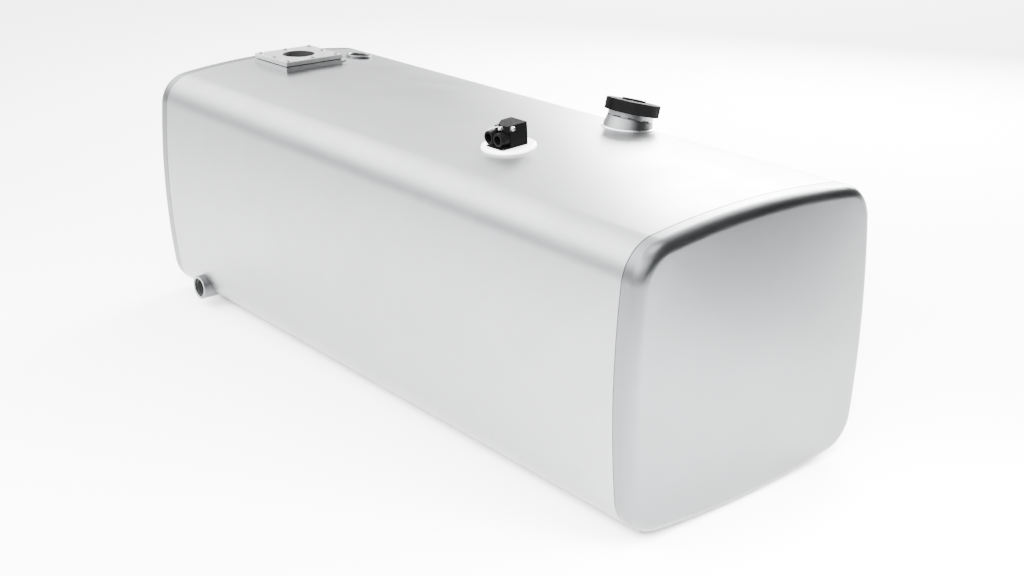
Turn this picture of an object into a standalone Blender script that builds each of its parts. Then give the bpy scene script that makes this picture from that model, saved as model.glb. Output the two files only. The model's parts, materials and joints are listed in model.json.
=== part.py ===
"""Fresh water tank: a rolled aluminium wrapper with pressed ends and swash baffles,
a leaning filler with a lockable cap, a level sender with two hose ports, a bolted access
plate, a vent bung and an outlet socket.

Metres, +Z up.  X runs along the tank, the long front is at -Y, and the origin is the
middle of the flat strip that the tank rests on.
"""
import math

import bmesh
import bpy
from mathutils import Matrix, Vector

# ---------------------------------------------------------------- driving dimensions
GAP = 0.0003               # left between pieces that touch or are welded

# wrapper and ends
HALF_WIDTH = 0.340
HALF_HEIGHT = 0.310
CROWN_RADIUS = 2.000       # all four sides bulge on this radius
CORNER_RADIUS = 0.085
LENGTH = 1.716             # from seam to seam
WALL = 0.003
RIM = 0.020                # straight part of a pressed end
KNUCKLE_RADIUS = 0.028
KNUCKLE_TURN = math.radians(81)
DOME_RISE = 0.024
LIP_LENGTH = 0.014         # joggled lip of an end, inside the wrapper
JOGGLE_START = 0.003
JOGGLE_END = 0.010

# swash baffles
BAFFLE_COUNT = 3
BAFFLE_SHEET = 0.0025
BAFFLE_FLANGE = 0.025
BAFFLE_HOLE_RADIUS = 0.105
BAFFLE_CORNER_CUT = 0.130    # from the corner of the section's box, along its sides
BAFFLE_SLOT_WIDTH = 0.120
BAFFLE_SLOT_HEIGHT = 0.020

# filler neck, on an axis that leans outward; heights are above the foot of the axis
FILLER_X = 0.295
FILLER_FROM_BACK = 0.106   # in from the far long side
FILLER_LEAN = math.radians(14.8)
NECK_BORE_RADIUS = 0.044
NECK_SPIGOT_WALL = 0.004
NECK_SPIGOT_DEPTH = 0.030
NECK_TOP_WALL = 0.0085
NECK_FLARE = 0.0080        # from the top of the neck out to its foot
NECK_FOOT_DEPTH = 0.012
NECK_JOINT_HEIGHT = 0.0195
COLLAR_WALL = 0.0083
COLLAR_SHOWN = 0.0124      # height of the collar that shows below the cap
COLLAR_COVER = 0.0004      # how far its shoulder reaches up inside the cap
COLLAR_THREAD = 0.0035     # what the shoulder steps in for the thread
COLLAR_SOCKET_WALL = 0.0035
COLLAR_SOCKET_DEPTH = 0.006
NOTCH_COUNT = 9
NOTCH_HEIGHT = 0.0030
NOTCH_DEPTH = 0.0032
NOTCH_SPAN = math.radians(20)
NOTCH_PHASE = math.radians(-41.4)

# filler cap
CAP_SKIRT = 0.0089         # wall of the skirt
CAP_HEIGHT = 0.0273
CAP_TOP_THICKNESS = 0.0042
CAP_CLEARANCE = 0.0012     # between the cap's skirt and the collar
CAP_EDGE = 0.0022
GRIP_COUNT = 6
GRIP_WIDTH = 0.011
GRIP_DEPTH = 0.0022
GRIP_PHASE = math.radians(-34)
GASKET_THICKNESS = 0.0020
INSERT_FLANGE = 0.0032
INSERT_DEPTH = 0.012
INSERT_WALL = 0.003
BARREL_RADIUS = 0.0085
BARREL_LIP = 0.0020
BARREL_LIP_HEIGHT = 0.0008
BARREL_DEPTH = 0.0034
KEY_SLOT_LENGTH = 0.0090
KEY_SLOT_WIDTH = 0.0018
KEY_SLOT_DEPTH = 0.0022
COVER_LENGTH = 0.054
COVER_WIDTH = 0.026
COVER_THICKNESS = 0.0042
COVER_RECESS = 0.0012
COVER_TURN = math.radians(46)
PIN_INSET = 0.0075
PIN_RADIUS = 0.0025
PIN_HEAD = 0.0020          # how much wider the pin's head is
PIN_DEPTH = 0.0030
PIN_CLEARANCE = 0.0004

# level sender; heights are above the tank's surface at its axis
SENDER_X = 0.282
SENDER_FROM_FRONT = 0.235
BOSS_BORE_RADIUS = 0.0400
BOSS_HEIGHT = 0.0060
BOSS_RIM = 0.0067          # ring of the boss round the plug
BOSS_SPIGOT_WALL = 0.0030
BOSS_SPIGOT_DEPTH = 0.010
PLUG_SEAT = 0.0125         # width of the ledge that the plug sits on
PLUG_THICKNESS = 0.0030
SENDER_GASKET = 0.0010
HOUSING_LEFT = -0.0200
HOUSING_RIGHT = 0.0318
HOUSING_FRONT = -0.0200
HOUSING_BACK = 0.0265
HOOD_OVERHANG = 0.0080
HOOD_HEIGHT = 0.0145
HOOD_CUT_X = 0.022         # the hood's front left corner is cut away
HOOD_CUT_Y = 0.026
SOLE_REACH = 0.0240        # how far the sole runs out under the ports
SOLE_THICKNESS = 0.0030
SOLE_MARGIN = 0.0005
PORT_RADIUS = 0.0145
PORT_BORE_RADIUS = 0.0100
PORT_LIFT = 0.0017         # from the sole up to a port
PORT_HEADROOM = 0.0005     # from a port up to the hood
PORT_SEPARATION = 0.0010   # between the two ports
PORT_SHIFT = 0.0010        # of the pair, towards the near end
PORT_FLOOR = 0.0024
PORT_REACH = 0.0230
PORT_SEAT_DEPTH = 0.008
PORT_SHOULDER = 0.0020     # what a port steps in where it enters the body
STUD_RADIUS = 0.0060
STUD_COLLAR = 0.0025
STUD_SEAT_DEPTH = 0.0040
STUD_SHANK_RADIUS = 0.0035
FRONT_STUD_X = 0.0130
FRONT_STUD_DROP = 0.0072   # below the top of the hood
SIDE_STUD_Y = -0.0155
SIDE_STUD_DROP = 0.0065
TERMINAL_X = -0.0060
TERMINAL_DROP = 0.0080
TERMINAL_WIDTH = 0.0063
TERMINAL_THICKNESS = 0.0010
TERMINAL_REACH = 0.020
TERMINAL_SEAT_DEPTH = 0.005
STEM_RADIUS = 0.0050
STEM_OFFSET_X = 0.014
STEM_FLOOR_CLEARANCE = 0.025
FLOAT_RADIUS = 0.0200
FLOAT_HEIGHT = 0.046
FLOAT_CLEARANCE = 0.0007
FLOAT_EDGE = 0.004
STOP_WALL = 0.0050
STOP_HEIGHT = 0.0050
UPPER_STOP_DEPTH = 0.030
PIPE_RADIUS = 0.0060
PIPE_WALL = 0.0012
PIPE_OFFSET_X = -0.018
PIPE_SPREAD = 0.020        # between the axes of the two pipes
SUCTION_FLOOR_CLEARANCE = 0.018
RETURN_LENGTH = 0.140

# access plate; its heights are above the crown of the tank
ACCESS_FROM_END = 0.140
ACCESS_Y = -0.003
ACCESS_HALF_X = 0.0805
ACCESS_HALF_Y = 0.0865
FRAME_HEIGHT = 0.0112
ACCESS_GASKET = 0.0012
PLATE_THICKNESS = 0.0115
PLATE_HOLE_RADIUS = 0.0435
FRAME_HOLE_MARGIN = 0.0085   # how much wider the hole is below the plate
PLATE_EDGE = 0.0008
BOLT_INSET = 0.0125
BOLT_RADIUS = 0.0030
BOLT_CLEARANCE = 0.0005
BOLT_FLATS = 0.010
BOLT_HEAD = 0.0028
BOLT_TAPPED_DEPTH = 0.0070
BOLT_TURN = math.radians(17)   # from one head to the next
LUG_RADIUS = 0.0030
LUG_REACH = 0.014
LUG_SEAT_DEPTH = 0.005
LUG_COLLAR = 0.0025
LUG_COLLAR_WALL = 0.0015
LUG_HEIGHT = 0.0045
LUG_INSET = 0.006

# vent bung
VENT_FROM_END = 0.142
VENT_FROM_BACK = 0.153
VENT_BORE_RADIUS = 0.0275
VENT_WALL = 0.0080
VENT_HEIGHT = 0.0070
VENT_EDGE = 0.0015
VENT_FUNNEL = 0.0070         # how far the cutter of the mouth's chamfer runs out

# outlet socket, pointing to -Y; its height is above the strip that the tank rests on
OUTLET_FROM_END = 0.1313
OUTLET_HEIGHT = 0.05825
OUTLET_PROUD = 0.0037        # how far the mouth stands out past the tank's side
OUTLET_BORE_RADIUS = 0.0248
OUTLET_WALL = 0.0067
OUTLET_STEP = 0.0048
OUTLET_STEP_DEPTH = 0.0060
OUTLET_EDGE = 0.0010
OUTLET_LENGTH = 0.066        # from the mouth to the end of the spigot

SPIGOT_WALL = 0.0025       # of the vent bung and of the outlet socket, inside the wrapper
SPIGOT_DEPTH = 0.010

# facets
CROWN_STEPS = 5
CORNER_STEPS = 6
KNUCKLE_STEPS = 3
DOME_RINGS = (0.78, 0.50, 0.20)   # as shares of the dome's width
CAP_STEPS = 48
ROUND_STEPS = 32
FLOAT_STEPS = 24
SMALL_STEPS = 16
BOLT_STEPS = 8
HEX_SIDES = 6
COVER_END_STEPS = 8
NUT_DOME_STEPS = 4
SHARP_ANGLE = math.radians(35)
REACH = 1.0                # how far a cutter runs past what it cuts
HOLE_REACH = 0.060         # how far a hole is cut to either side of one wall

ALUMINIUM = (0.80, 0.81, 0.82)
BLACK_PLASTIC = (0.018, 0.018, 0.019)
BLACK_RUBBER = (0.012, 0.012, 0.012)
STEEL = (0.62, 0.62, 0.60)
NICKEL = (0.78, 0.77, 0.74)
FLOAT_FOAM = (0.03, 0.03, 0.032)


# ---------------------------------------------------------------- scene helpers
def clear_scene():
    for item in list(bpy.data.objects):
        bpy.data.objects.remove(item, do_unlink=True)


def new_collection(name):
    collection = bpy.data.collections.new(name)
    bpy.context.scene.collection.children.link(collection)
    return collection


clear_scene()
TANK = new_collection("fresh_water_tank")
CUTTERS = new_collection("cutters")


def paint(piece, colour, roughness, metallic):
    material = bpy.data.materials.new(piece.name)
    material.use_nodes = True
    shader = material.node_tree.nodes["Principled BSDF"]
    shader.inputs["Base Color"].default_value = (*colour, 1.0)
    shader.inputs["Roughness"].default_value = roughness
    shader.inputs["Metallic"].default_value = metallic
    piece.data.materials.clear()
    piece.data.materials.append(material)
    return piece


def aluminium(piece):
    return paint(piece, ALUMINIUM, 0.35, 1.0)


def plastic(piece):
    return paint(piece, BLACK_PLASTIC, 0.55, 0.0)


def rubber(piece):
    return paint(piece, BLACK_RUBBER, 0.80, 0.0)


def steel(piece):
    return paint(piece, STEEL, 0.30, 1.0)


def datum(name, matrix):
    """An empty that carries the pieces built in its own axes."""
    empty = bpy.data.objects.new(name, None)
    empty.matrix_world = matrix
    empty.empty_display_size = 0.05
    TANK.objects.link(empty)
    return empty


def place(name, mesh, parent=None, cutter=False):
    piece = bpy.data.objects.new(name, mesh)
    (CUTTERS if cutter else TANK).objects.link(piece)
    piece.parent = parent
    if cutter:
        piece.hide_render = True
        piece.display_type = "WIRE"
    return piece


def mesh_from(name, bm):
    mesh = bpy.data.meshes.new(name)
    bmesh.ops.recalc_face_normals(bm, faces=bm.faces)
    bm.to_mesh(mesh)
    bm.free()
    return mesh


def combine(piece, other, operation):
    """Cut, join or intersect piece with another object, in world space."""
    modifier = piece.modifiers.new(operation.lower(), "BOOLEAN")
    modifier.operation = operation
    modifier.solver = "EXACT"
    modifier.object = other
    return piece


def cut(piece, *cutters):
    for cutter in cutters:
        combine(piece, cutter, "DIFFERENCE")
    return piece


def join(piece, *others):
    for other in others:
        combine(piece, other, "UNION")
    return piece


def chamfer(piece, width):
    modifier = piece.modifiers.new("chamfer", "BEVEL")
    modifier.width = width
    modifier.segments = 1
    modifier.limit_method = "ANGLE"
    modifier.angle_limit = SHARP_ANGLE
    return piece


def shade_round(piece):
    """Apply a piece's modifiers, then shade it smooth with its real edges left sharp."""
    seen = piece.evaluated_get(bpy.context.evaluated_depsgraph_get())
    mesh = bpy.data.meshes.new_from_object(seen)
    mesh.name = piece.name
    mesh.shade_smooth()
    mesh.set_sharp_from_angle(angle=SHARP_ANGLE)
    piece.modifiers.clear()
    piece.data = mesh


# ---------------------------------------------------------------- shape helpers
def turned(name, profile, parent, ring=False, steps=ROUND_STEPS, cutter=False):
    """A turned piece: (radius, height) points down the outer side; ring closes the outline."""
    bm = bmesh.new()
    points = [bm.verts.new((radius, 0.0, height)) for radius, height in profile]
    for first, second in zip(points, points[1:]):
        bm.edges.new((first, second))
    if ring:
        bm.edges.new((points[-1], points[0]))
    mesh = bpy.data.meshes.new(name)
    bm.to_mesh(mesh)
    bm.free()
    piece = place(name, mesh, parent, cutter)
    screw = piece.modifiers.new("turn", "SCREW")
    screw.angle = math.tau
    screw.steps = steps
    screw.render_steps = steps
    screw.use_merge_vertices = True
    screw.merge_threshold = 0.00001
    return piece


def tube_profile(outer, inner, top, bottom):
    """Outline of a plain ring or tube."""
    return [(inner, top), (outer, top), (outer, bottom), (inner, bottom)]


def rod(name, radius, top, bottom, parent, at=(0.0, 0.0), steps=ROUND_STEPS, cutter=False,
        turn=0.0):
    """A round or, with few steps, a many-sided bar along the parent's Z."""
    bm = bmesh.new()
    spin = Matrix.Rotation(turn, 4, "Z")
    shift = Matrix.Translation((at[0], at[1], (top + bottom) / 2))
    bmesh.ops.create_cone(bm, cap_ends=True, segments=steps, radius1=radius, radius2=radius,
                          depth=top - bottom, matrix=shift @ spin)
    return place(name, mesh_from(name, bm), parent, cutter)


def block(name, x_range, y_range, z_range, parent, cutter=False, turn=0.0):
    """A box between the given low and high ends, then turned about the parent's Z."""
    bm = bmesh.new()
    spans = (x_range, y_range, z_range)
    middle = Matrix.Translation([(low + high) / 2 for low, high in spans])
    size = Matrix.Diagonal([high - low for low, high in spans] + [1.0])
    spin = Matrix.Rotation(turn, 4, "Z")
    bmesh.ops.create_cube(bm, size=1.0, matrix=spin @ middle @ size)
    return place(name, mesh_from(name, bm), parent, cutter)


def flat_shape(name, outlines, bottom, top, parent, cutter=False):
    """Closed 2D outlines, the first outside and the rest holes, extruded between two heights."""
    curve = bpy.data.curves.new(name, "CURVE")
    curve.dimensions = "2D"
    curve.fill_mode = "BOTH"
    curve.extrude = (top - bottom) / 2
    for outline in outlines:
        spline = curve.splines.new("POLY")
        spline.points.add(len(outline) - 1)
        for point, (x, y) in zip(spline.points, outline):
            point.co = (x, y, 0.0, 1.0)
        spline.use_cyclic_u = True
    source = place(name + "_outline", curve, parent, cutter=True)
    bpy.context.view_layer.update()
    seen = source.evaluated_get(bpy.context.evaluated_depsgraph_get())
    mesh = bpy.data.meshes.new_from_object(seen)
    mesh.name = name
    bpy.data.objects.remove(source, do_unlink=True)
    bm = bmesh.new()
    bm.from_mesh(mesh)
    bmesh.ops.remove_doubles(bm, verts=bm.verts, dist=0.00001)
    bmesh.ops.translate(bm, verts=bm.verts, vec=(0.0, 0.0, (top + bottom) / 2))
    bmesh.ops.recalc_face_normals(bm, faces=bm.faces)
    bm.to_mesh(mesh)
    bm.free()
    return place(name, mesh, parent, cutter)


def loft(name, rings, parent=None):
    """Skin rings of equal point count, and close the first and the last."""
    bm = bmesh.new()
    rows = [[bm.verts.new(point) for point in ring] for ring in rings]
    for row, following in zip(rows, rows[1:]):
        count = len(row)
        for index in range(count):
            after = (index + 1) % count
            bm.faces.new((row[index], row[after], following[after], following[index]))
    bm.faces.new(rows[0])
    bm.faces.new(rows[-1])
    return place(name, mesh_from(name, bm), parent)


def capsule_outline(length, width):
    """Outline of a bar with round ends, along X, centred."""
    radius = width / 2
    middle = length / 2 - radius
    outline = []
    for side, start in ((1, -math.pi / 2), (-1, math.pi / 2)):
        for step in range(COVER_END_STEPS + 1):
            angle = start + math.pi * step / COVER_END_STEPS
            outline.append((side * middle + radius * math.cos(angle), radius * math.sin(angle)))
    return outline


# ---------------------------------------------------------------- section of the tank
def corner_centre():
    """Centre of the upper right corner arc, which is tangent to both crowned sides."""
    side = Vector((HALF_WIDTH - CROWN_RADIUS, 0.0))
    top = Vector((0.0, HALF_HEIGHT - CROWN_RADIUS))
    between = top - side
    height = math.sqrt((CROWN_RADIUS - CORNER_RADIUS) ** 2 - between.length_squared / 4)
    outward = Vector((-between.y, between.x)).normalized()
    return (side + top) / 2 + outward * height


def section(inset=0.0):
    """Points (y, z) round the section, all set in by the same amount, from the middle up."""
    corner = corner_centre()
    side = CROWN_RADIUS - HALF_WIDTH
    top = CROWN_RADIUS - HALF_HEIGHT
    rise = math.atan2(corner.y, corner.x + side)
    lean = math.atan2(corner.x, corner.y + top)
    quarter = math.pi / 2
    arcs = []
    for turn, (off, half) in enumerate(((side, rise), (top, lean), (side, rise), (top, lean))):
        axis = turn * quarter
        centre = Vector((-off * math.cos(axis), -off * math.sin(axis)))
        arcs.append((centre, CROWN_RADIUS, axis - half, axis + half, CROWN_STEPS))
        next_half = lean if turn % 2 == 0 else rise
        sign_y = 1 if turn in (0, 3) else -1
        sign_z = 1 if turn in (0, 1) else -1
        tip = Vector((sign_y * corner.x, sign_z * corner.y))
        arcs.append((tip, CORNER_RADIUS, axis + half, axis + quarter - next_half, CORNER_STEPS))
    points = []
    for centre, radius, start, end, steps in arcs:
        for step in range(steps):
            angle = start + (end - start) * step / steps
            reach = radius - inset
            points.append((centre.x + reach * math.cos(angle), centre.y + reach * math.sin(angle)))
    return points


CENTRE_Z = -min(z for _, z in section())   # the lowest strip of the section lies at Z 0
CROWN_Z = CENTRE_Z + HALF_HEIGHT


def surface_z(y):
    """Height of the top crown at y."""
    return CROWN_Z - CROWN_RADIUS + math.sqrt(CROWN_RADIUS ** 2 - y ** 2)


def tank_ring(x, inset=0.0):
    """One ring of the section at x, set in all round."""
    return [Vector((x, y, CENTRE_Z + z)) for y, z in section(inset)]


def along_tank():
    """Axes of a section outline: its X is world Y, its Y is world Z and its Z is world X."""
    turn = Matrix(((0, 0, 1, 0), (1, 0, 0, 0), (0, 1, 0, 0), (0, 0, 0, 1)))
    return Matrix.Translation((0, 0, CENTRE_Z)) @ turn


def frame_at(origin, x_axis, z_axis):
    """Axes with the given Z, and an X as near as possible to the given one."""
    up = Vector(z_axis).normalized()
    across = up.cross(Vector(x_axis)).normalized()
    along = across.cross(up)
    turn = Matrix((along, across, up)).transposed()
    return Matrix.Translation(origin) @ turn.to_4x4()


def crown_frame(x, y):
    """Axes standing on the top crown, square to it."""
    slope = y / CROWN_RADIUS
    return frame_at((x, y, surface_z(y)), (1, 0, 0), (0, slope, math.sqrt(1 - slope ** 2)))


SECTION_AXES = datum("section_axes", along_tank())
TANK_OUTSIDE = flat_shape("tank_outside", [section(-GAP)], -LENGTH / 2, LENGTH / 2, SECTION_AXES,
                          cutter=True)


# ---------------------------------------------------------------- axes of the fittings
def filler_axes():
    y = HALF_WIDTH - FILLER_FROM_BACK
    lean = (0, math.sin(FILLER_LEAN), math.cos(FILLER_LEAN))
    return frame_at((FILLER_X, y, surface_z(y)), (1, 0, 0), lean)


def outlet_axes():
    mouth = (OUTLET_FROM_END - LENGTH / 2, -HALF_WIDTH - OUTLET_PROUD, OUTLET_HEIGHT)
    return frame_at(mouth, (1, 0, 0), (0, -1, 0))


SENDER_Y = SENDER_FROM_FRONT - HALF_WIDTH
ACCESS_X = ACCESS_FROM_END - LENGTH / 2

FILLER = datum("filler_axis", filler_axes())
LOCK = datum("lock_axes", FILLER.matrix_world @ Matrix.Rotation(COVER_TURN, 4, "Z"))
SENDER = datum("sender_axis", crown_frame(SENDER_X, SENDER_Y))
ACCESS = datum("access_datum", Matrix.Translation((ACCESS_X, ACCESS_Y, CROWN_Z)))
VENT = datum("vent_axis", crown_frame(VENT_FROM_END - LENGTH / 2, HALF_WIDTH - VENT_FROM_BACK))
OUTLET = datum("outlet_axis", outlet_axes())


def bore(name, radius, parent, top=REACH, bottom=-REACH, at=(0.0, 0.0), steps=ROUND_STEPS):
    return rod(name, radius, top, bottom, parent, at=at, steps=steps, cutter=True)


# ---------------------------------------------------------------- radii worked out from walls
NECK_SPIGOT_RADIUS = NECK_BORE_RADIUS + NECK_SPIGOT_WALL
NECK_TOP_RADIUS = NECK_BORE_RADIUS + NECK_TOP_WALL
COLLAR_RADIUS = NECK_BORE_RADIUS + COLLAR_WALL
COLLAR_THREAD_RADIUS = COLLAR_RADIUS - COLLAR_THREAD
COLLAR_SOCKET_RADIUS = NECK_BORE_RADIUS + COLLAR_SOCKET_WALL
CAP_INSIDE_RADIUS = COLLAR_RADIUS + CAP_CLEARANCE
CAP_RADIUS = CAP_INSIDE_RADIUS + CAP_SKIRT
BARREL_LIP_RADIUS = BARREL_RADIUS + BARREL_LIP
PIN_HEAD_RADIUS = PIN_RADIUS + PIN_HEAD
BOSS_SPIGOT_RADIUS = BOSS_BORE_RADIUS + BOSS_SPIGOT_WALL
PLUG_RADIUS = BOSS_BORE_RADIUS + PLUG_SEAT
BOSS_RADIUS = PLUG_RADIUS + GAP + BOSS_RIM
PORT_SEAT_RADIUS = PORT_RADIUS - PORT_SHOULDER
FRAME_HOLE_RADIUS = PLATE_HOLE_RADIUS + FRAME_HOLE_MARGIN
VENT_RADIUS = VENT_BORE_RADIUS + VENT_WALL
OUTLET_RADIUS = OUTLET_BORE_RADIUS + OUTLET_WALL
OUTLET_STEP_RADIUS = OUTLET_BORE_RADIUS - OUTLET_STEP


# ---------------------------------------------------------------- tank body
def build_wrapper():
    """Rolled skin with a hole for every fitting."""
    wrapper = flat_shape("wrapper", [section(), section(WALL)], -LENGTH / 2, LENGTH / 2, SECTION_AXES)
    for name, radius, axes in (
            ("neck_hole", NECK_SPIGOT_RADIUS + GAP, FILLER),
            ("sender_hole", BOSS_SPIGOT_RADIUS + GAP, SENDER),
            ("access_hole", FRAME_HOLE_RADIUS, ACCESS),
            ("vent_hole", VENT_BORE_RADIUS + SPIGOT_WALL + GAP, VENT)):
        cut(wrapper, bore(name, radius, axes, HOLE_REACH, -HOLE_REACH))
    cut(wrapper, bore("outlet_hole", OUTLET_STEP_RADIUS + SPIGOT_WALL + GAP, OUTLET,
                      0.0, -2 * OUTLET_LENGTH))
    return aluminium(wrapper)


def knuckle_rings(side, skin):
    """Rings from the rim round the knuckle, on a surface skin metres inside the outer one."""
    radius = KNUCKLE_RADIUS - skin
    rings = []
    for step in range(KNUCKLE_STEPS + 1):
        angle = KNUCKLE_TURN * step / KNUCKLE_STEPS
        past = RIM + radius * math.sin(angle)
        rings.append(tank_ring(side * (LENGTH / 2 + past), skin + radius * (1 - math.cos(angle))))
    return rings


def dome_rings(side, skin):
    """Rings of the dome, which turns from the knuckle's outline into an oval at its middle."""
    radius = KNUCKLE_RADIUS - skin
    inset = skin + radius * (1 - math.cos(KNUCKLE_TURN))
    foot = LENGTH / 2 + RIM + radius * math.sin(KNUCKLE_TURN)
    rings = []
    for shrink in DOME_RINGS:
        ring = []
        for y, z in section(inset):
            oval = (y / (HALF_WIDTH - inset)) ** 2 + (z / (HALF_HEIGHT - inset)) ** 2
            fall = shrink ** 2 * (oval + (1 - oval) * shrink ** 2)
            x = side * (foot + DOME_RISE * (1 - fall))
            ring.append(Vector((x, y * shrink, CENTRE_Z + z * shrink)))
        rings.append(ring)
    return rings


def build_end(name, side):
    """A pressed end: dome, knuckle, straight rim, and a joggled lip inside the wrapper."""
    lip = WALL + GAP
    steps = [(GAP, 0.0), (GAP, lip), (-LIP_LENGTH, lip), (-LIP_LENGTH, lip + WALL),
             (JOGGLE_START, lip + WALL), (JOGGLE_END, WALL)]
    outer = knuckle_rings(side, 0.0) + dome_rings(side, 0.0)
    rim = [tank_ring(side * (LENGTH / 2 + past), inset) for past, inset in steps]
    inner = knuckle_rings(side, WALL) + dome_rings(side, WALL)
    return aluminium(loft(name, outer[::-1] + rim + inner))


def build_baffle(name, x):
    """A flanged swash plate with a middle hole, cut corners and a drain slot."""
    edge = WALL + GAP
    inner = edge + BAFFLE_SHEET
    baffle = loft(name, [tank_ring(x, edge), tank_ring(x + BAFFLE_FLANGE, edge),
                         tank_ring(x + BAFFLE_FLANGE, inner), tank_ring(x + BAFFLE_SHEET, inner)])
    upright = Matrix.Rotation(math.pi / 2, 4, "Y")
    middle = datum(name + "_datum", Matrix.Translation((x, 0, CENTRE_Z)) @ upright)
    cut(baffle, bore(name + "_hole", BAFFLE_HOLE_RADIUS, middle, HOLE_REACH, -HOLE_REACH))
    for index, (up, across) in enumerate(((1, 1), (1, -1), (-1, 1), (-1, -1))):
        cut(baffle, bore(f"{name}_corner_{index}", BAFFLE_CORNER_CUT, middle, HOLE_REACH, -HOLE_REACH,
                         at=(up * HALF_HEIGHT, across * HALF_WIDTH), steps=4))
    half = BAFFLE_SLOT_WIDTH / 2
    drain = datum(name + "_drain", Matrix.Translation((x, 0, 0)))
    cut(baffle, block(name + "_slot", (-HOLE_REACH, HOLE_REACH), (-half, half),
                      (-WALL, WALL + BAFFLE_SLOT_HEIGHT), drain, cutter=True))
    return aluminium(baffle)


def build_baffles():
    pitch = LENGTH / (BAFFLE_COUNT + 1)
    for index in range(BAFFLE_COUNT):
        build_baffle(f"swash_baffle_{index + 1}", (index + 1) * pitch - LENGTH / 2)


# ---------------------------------------------------------------- filler neck and cap
CAP_BOTTOM = NECK_JOINT_HEIGHT + COLLAR_SHOWN
CAP_TOP = CAP_BOTTOM + CAP_HEIGHT
CAP_ROOF = CAP_TOP - CAP_TOP_THICKNESS
INSERT_TOP = CAP_ROOF - GAP
INSERT_BOTTOM = INSERT_TOP - INSERT_FLANGE
GASKET_TOP = INSERT_BOTTOM - GAP
COLLAR_TOP = GASKET_TOP - GASKET_THICKNESS - GAP
COLLAR_BOTTOM = NECK_JOINT_HEIGHT + GAP
COLLAR_SEAT = NECK_JOINT_HEIGHT - COLLAR_SOCKET_DEPTH
BARREL_TOP = CAP_TOP - GAP
BARREL_SEAT = CAP_TOP - BARREL_DEPTH
COVER_BOTTOM = CAP_TOP + GAP
COVER_TOP = COVER_BOTTOM + COVER_THICKNESS
PIN_X = COVER_LENGTH / 2 - PIN_INSET


def build_neck():
    """Foot flared onto the crown, with a spigot through the wrapper."""
    neck = turned("neck_base", [
        (0.0, NECK_JOINT_HEIGHT), (NECK_TOP_RADIUS, NECK_JOINT_HEIGHT),
        (NECK_TOP_RADIUS + NECK_FLARE, -NECK_FOOT_DEPTH), (0.0, -NECK_FOOT_DEPTH)], FILLER)
    cut(neck, TANK_OUTSIDE)
    join(neck, rod("neck_spigot", NECK_SPIGOT_RADIUS, NECK_JOINT_HEIGHT / 2, -NECK_SPIGOT_DEPTH,
                   FILLER, cutter=True))
    cut(neck, bore("neck_bore", NECK_BORE_RADIUS, FILLER),
        bore("collar_seat", COLLAR_SOCKET_RADIUS + GAP, FILLER, bottom=COLLAR_SEAT))
    return aluminium(neck)


def build_collar():
    """Ring that the cap screws on, notched round its lower edge."""
    shoulder = CAP_BOTTOM + COLLAR_COVER
    spigot = COLLAR_SEAT + GAP
    collar = turned("neck_collar", [
        (NECK_BORE_RADIUS, COLLAR_TOP), (COLLAR_THREAD_RADIUS, COLLAR_TOP),
        (COLLAR_THREAD_RADIUS, shoulder), (COLLAR_RADIUS, shoulder - CAP_EDGE),
        (COLLAR_RADIUS, COLLAR_BOTTOM), (COLLAR_SOCKET_RADIUS, COLLAR_BOTTOM),
        (COLLAR_SOCKET_RADIUS, spigot), (NECK_BORE_RADIUS, spigot)], FILLER, ring=True)
    half = COLLAR_RADIUS * math.tan(NOTCH_SPAN / 2)
    for index in range(NOTCH_COUNT):
        notch = block(f"notch_{index}", (COLLAR_RADIUS - NOTCH_DEPTH, COLLAR_RADIUS + NOTCH_DEPTH),
                      (-half, half), (COLLAR_BOTTOM - NOTCH_HEIGHT, COLLAR_BOTTOM + NOTCH_HEIGHT),
                      FILLER, cutter=True, turn=NOTCH_PHASE + math.tau * index / NOTCH_COUNT)
        cut(collar, notch)
    return aluminium(collar)


def build_insert():
    """Gasket and inner plug, which lift off with the cap but don't turn."""
    rubber(turned("cap_gasket", tube_profile(COLLAR_THREAD_RADIUS, NECK_BORE_RADIUS, GASKET_TOP,
                                             GASKET_TOP - GASKET_THICKNESS), FILLER, ring=True))
    plug = NECK_BORE_RADIUS - CAP_CLEARANCE
    depth = INSERT_BOTTOM - INSERT_DEPTH
    hollow = plug - INSERT_WALL
    floor = INSERT_TOP - INSERT_WALL
    return plastic(turned("cap_insert", [
        (0.0, INSERT_TOP), (COLLAR_THREAD_RADIUS, INSERT_TOP), (COLLAR_THREAD_RADIUS, INSERT_BOTTOM),
        (plug, INSERT_BOTTOM), (plug, depth), (hollow, depth), (hollow, floor), (0.0, floor)], FILLER))


def build_cap():
    """Grip with six grooves, and a flat top that carries the lock."""
    cap = turned("cap_grip", [
        (0.0, CAP_TOP), (CAP_RADIUS - CAP_EDGE, CAP_TOP), (CAP_RADIUS, CAP_TOP - CAP_EDGE),
        (CAP_RADIUS, CAP_BOTTOM), (CAP_INSIDE_RADIUS, CAP_BOTTOM), (CAP_INSIDE_RADIUS, CAP_ROOF),
        (0.0, CAP_ROOF)], FILLER, steps=CAP_STEPS)
    half = GRIP_WIDTH / 2
    for index in range(GRIP_COUNT):
        cut(cap, block(f"grip_{index}", (CAP_RADIUS - GRIP_DEPTH, CAP_RADIUS + GRIP_DEPTH),
                       (-half, half), (0.0, 2 * CAP_TOP), FILLER, cutter=True,
                       turn=GRIP_PHASE + math.tau * index / GRIP_COUNT))
    cut(cap, bore("barrel_seat", BARREL_RADIUS + GAP, FILLER, bottom=BARREL_SEAT, steps=SMALL_STEPS),
        bore("barrel_lip_seat", BARREL_LIP_RADIUS + GAP, FILLER,
             bottom=BARREL_TOP - BARREL_LIP_HEIGHT - GAP, steps=SMALL_STEPS),
        bore("pin_seat", PIN_RADIUS + GAP, LOCK, bottom=CAP_TOP - PIN_DEPTH, at=(PIN_X, 0.0),
             steps=SMALL_STEPS))
    return plastic(cap)


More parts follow.
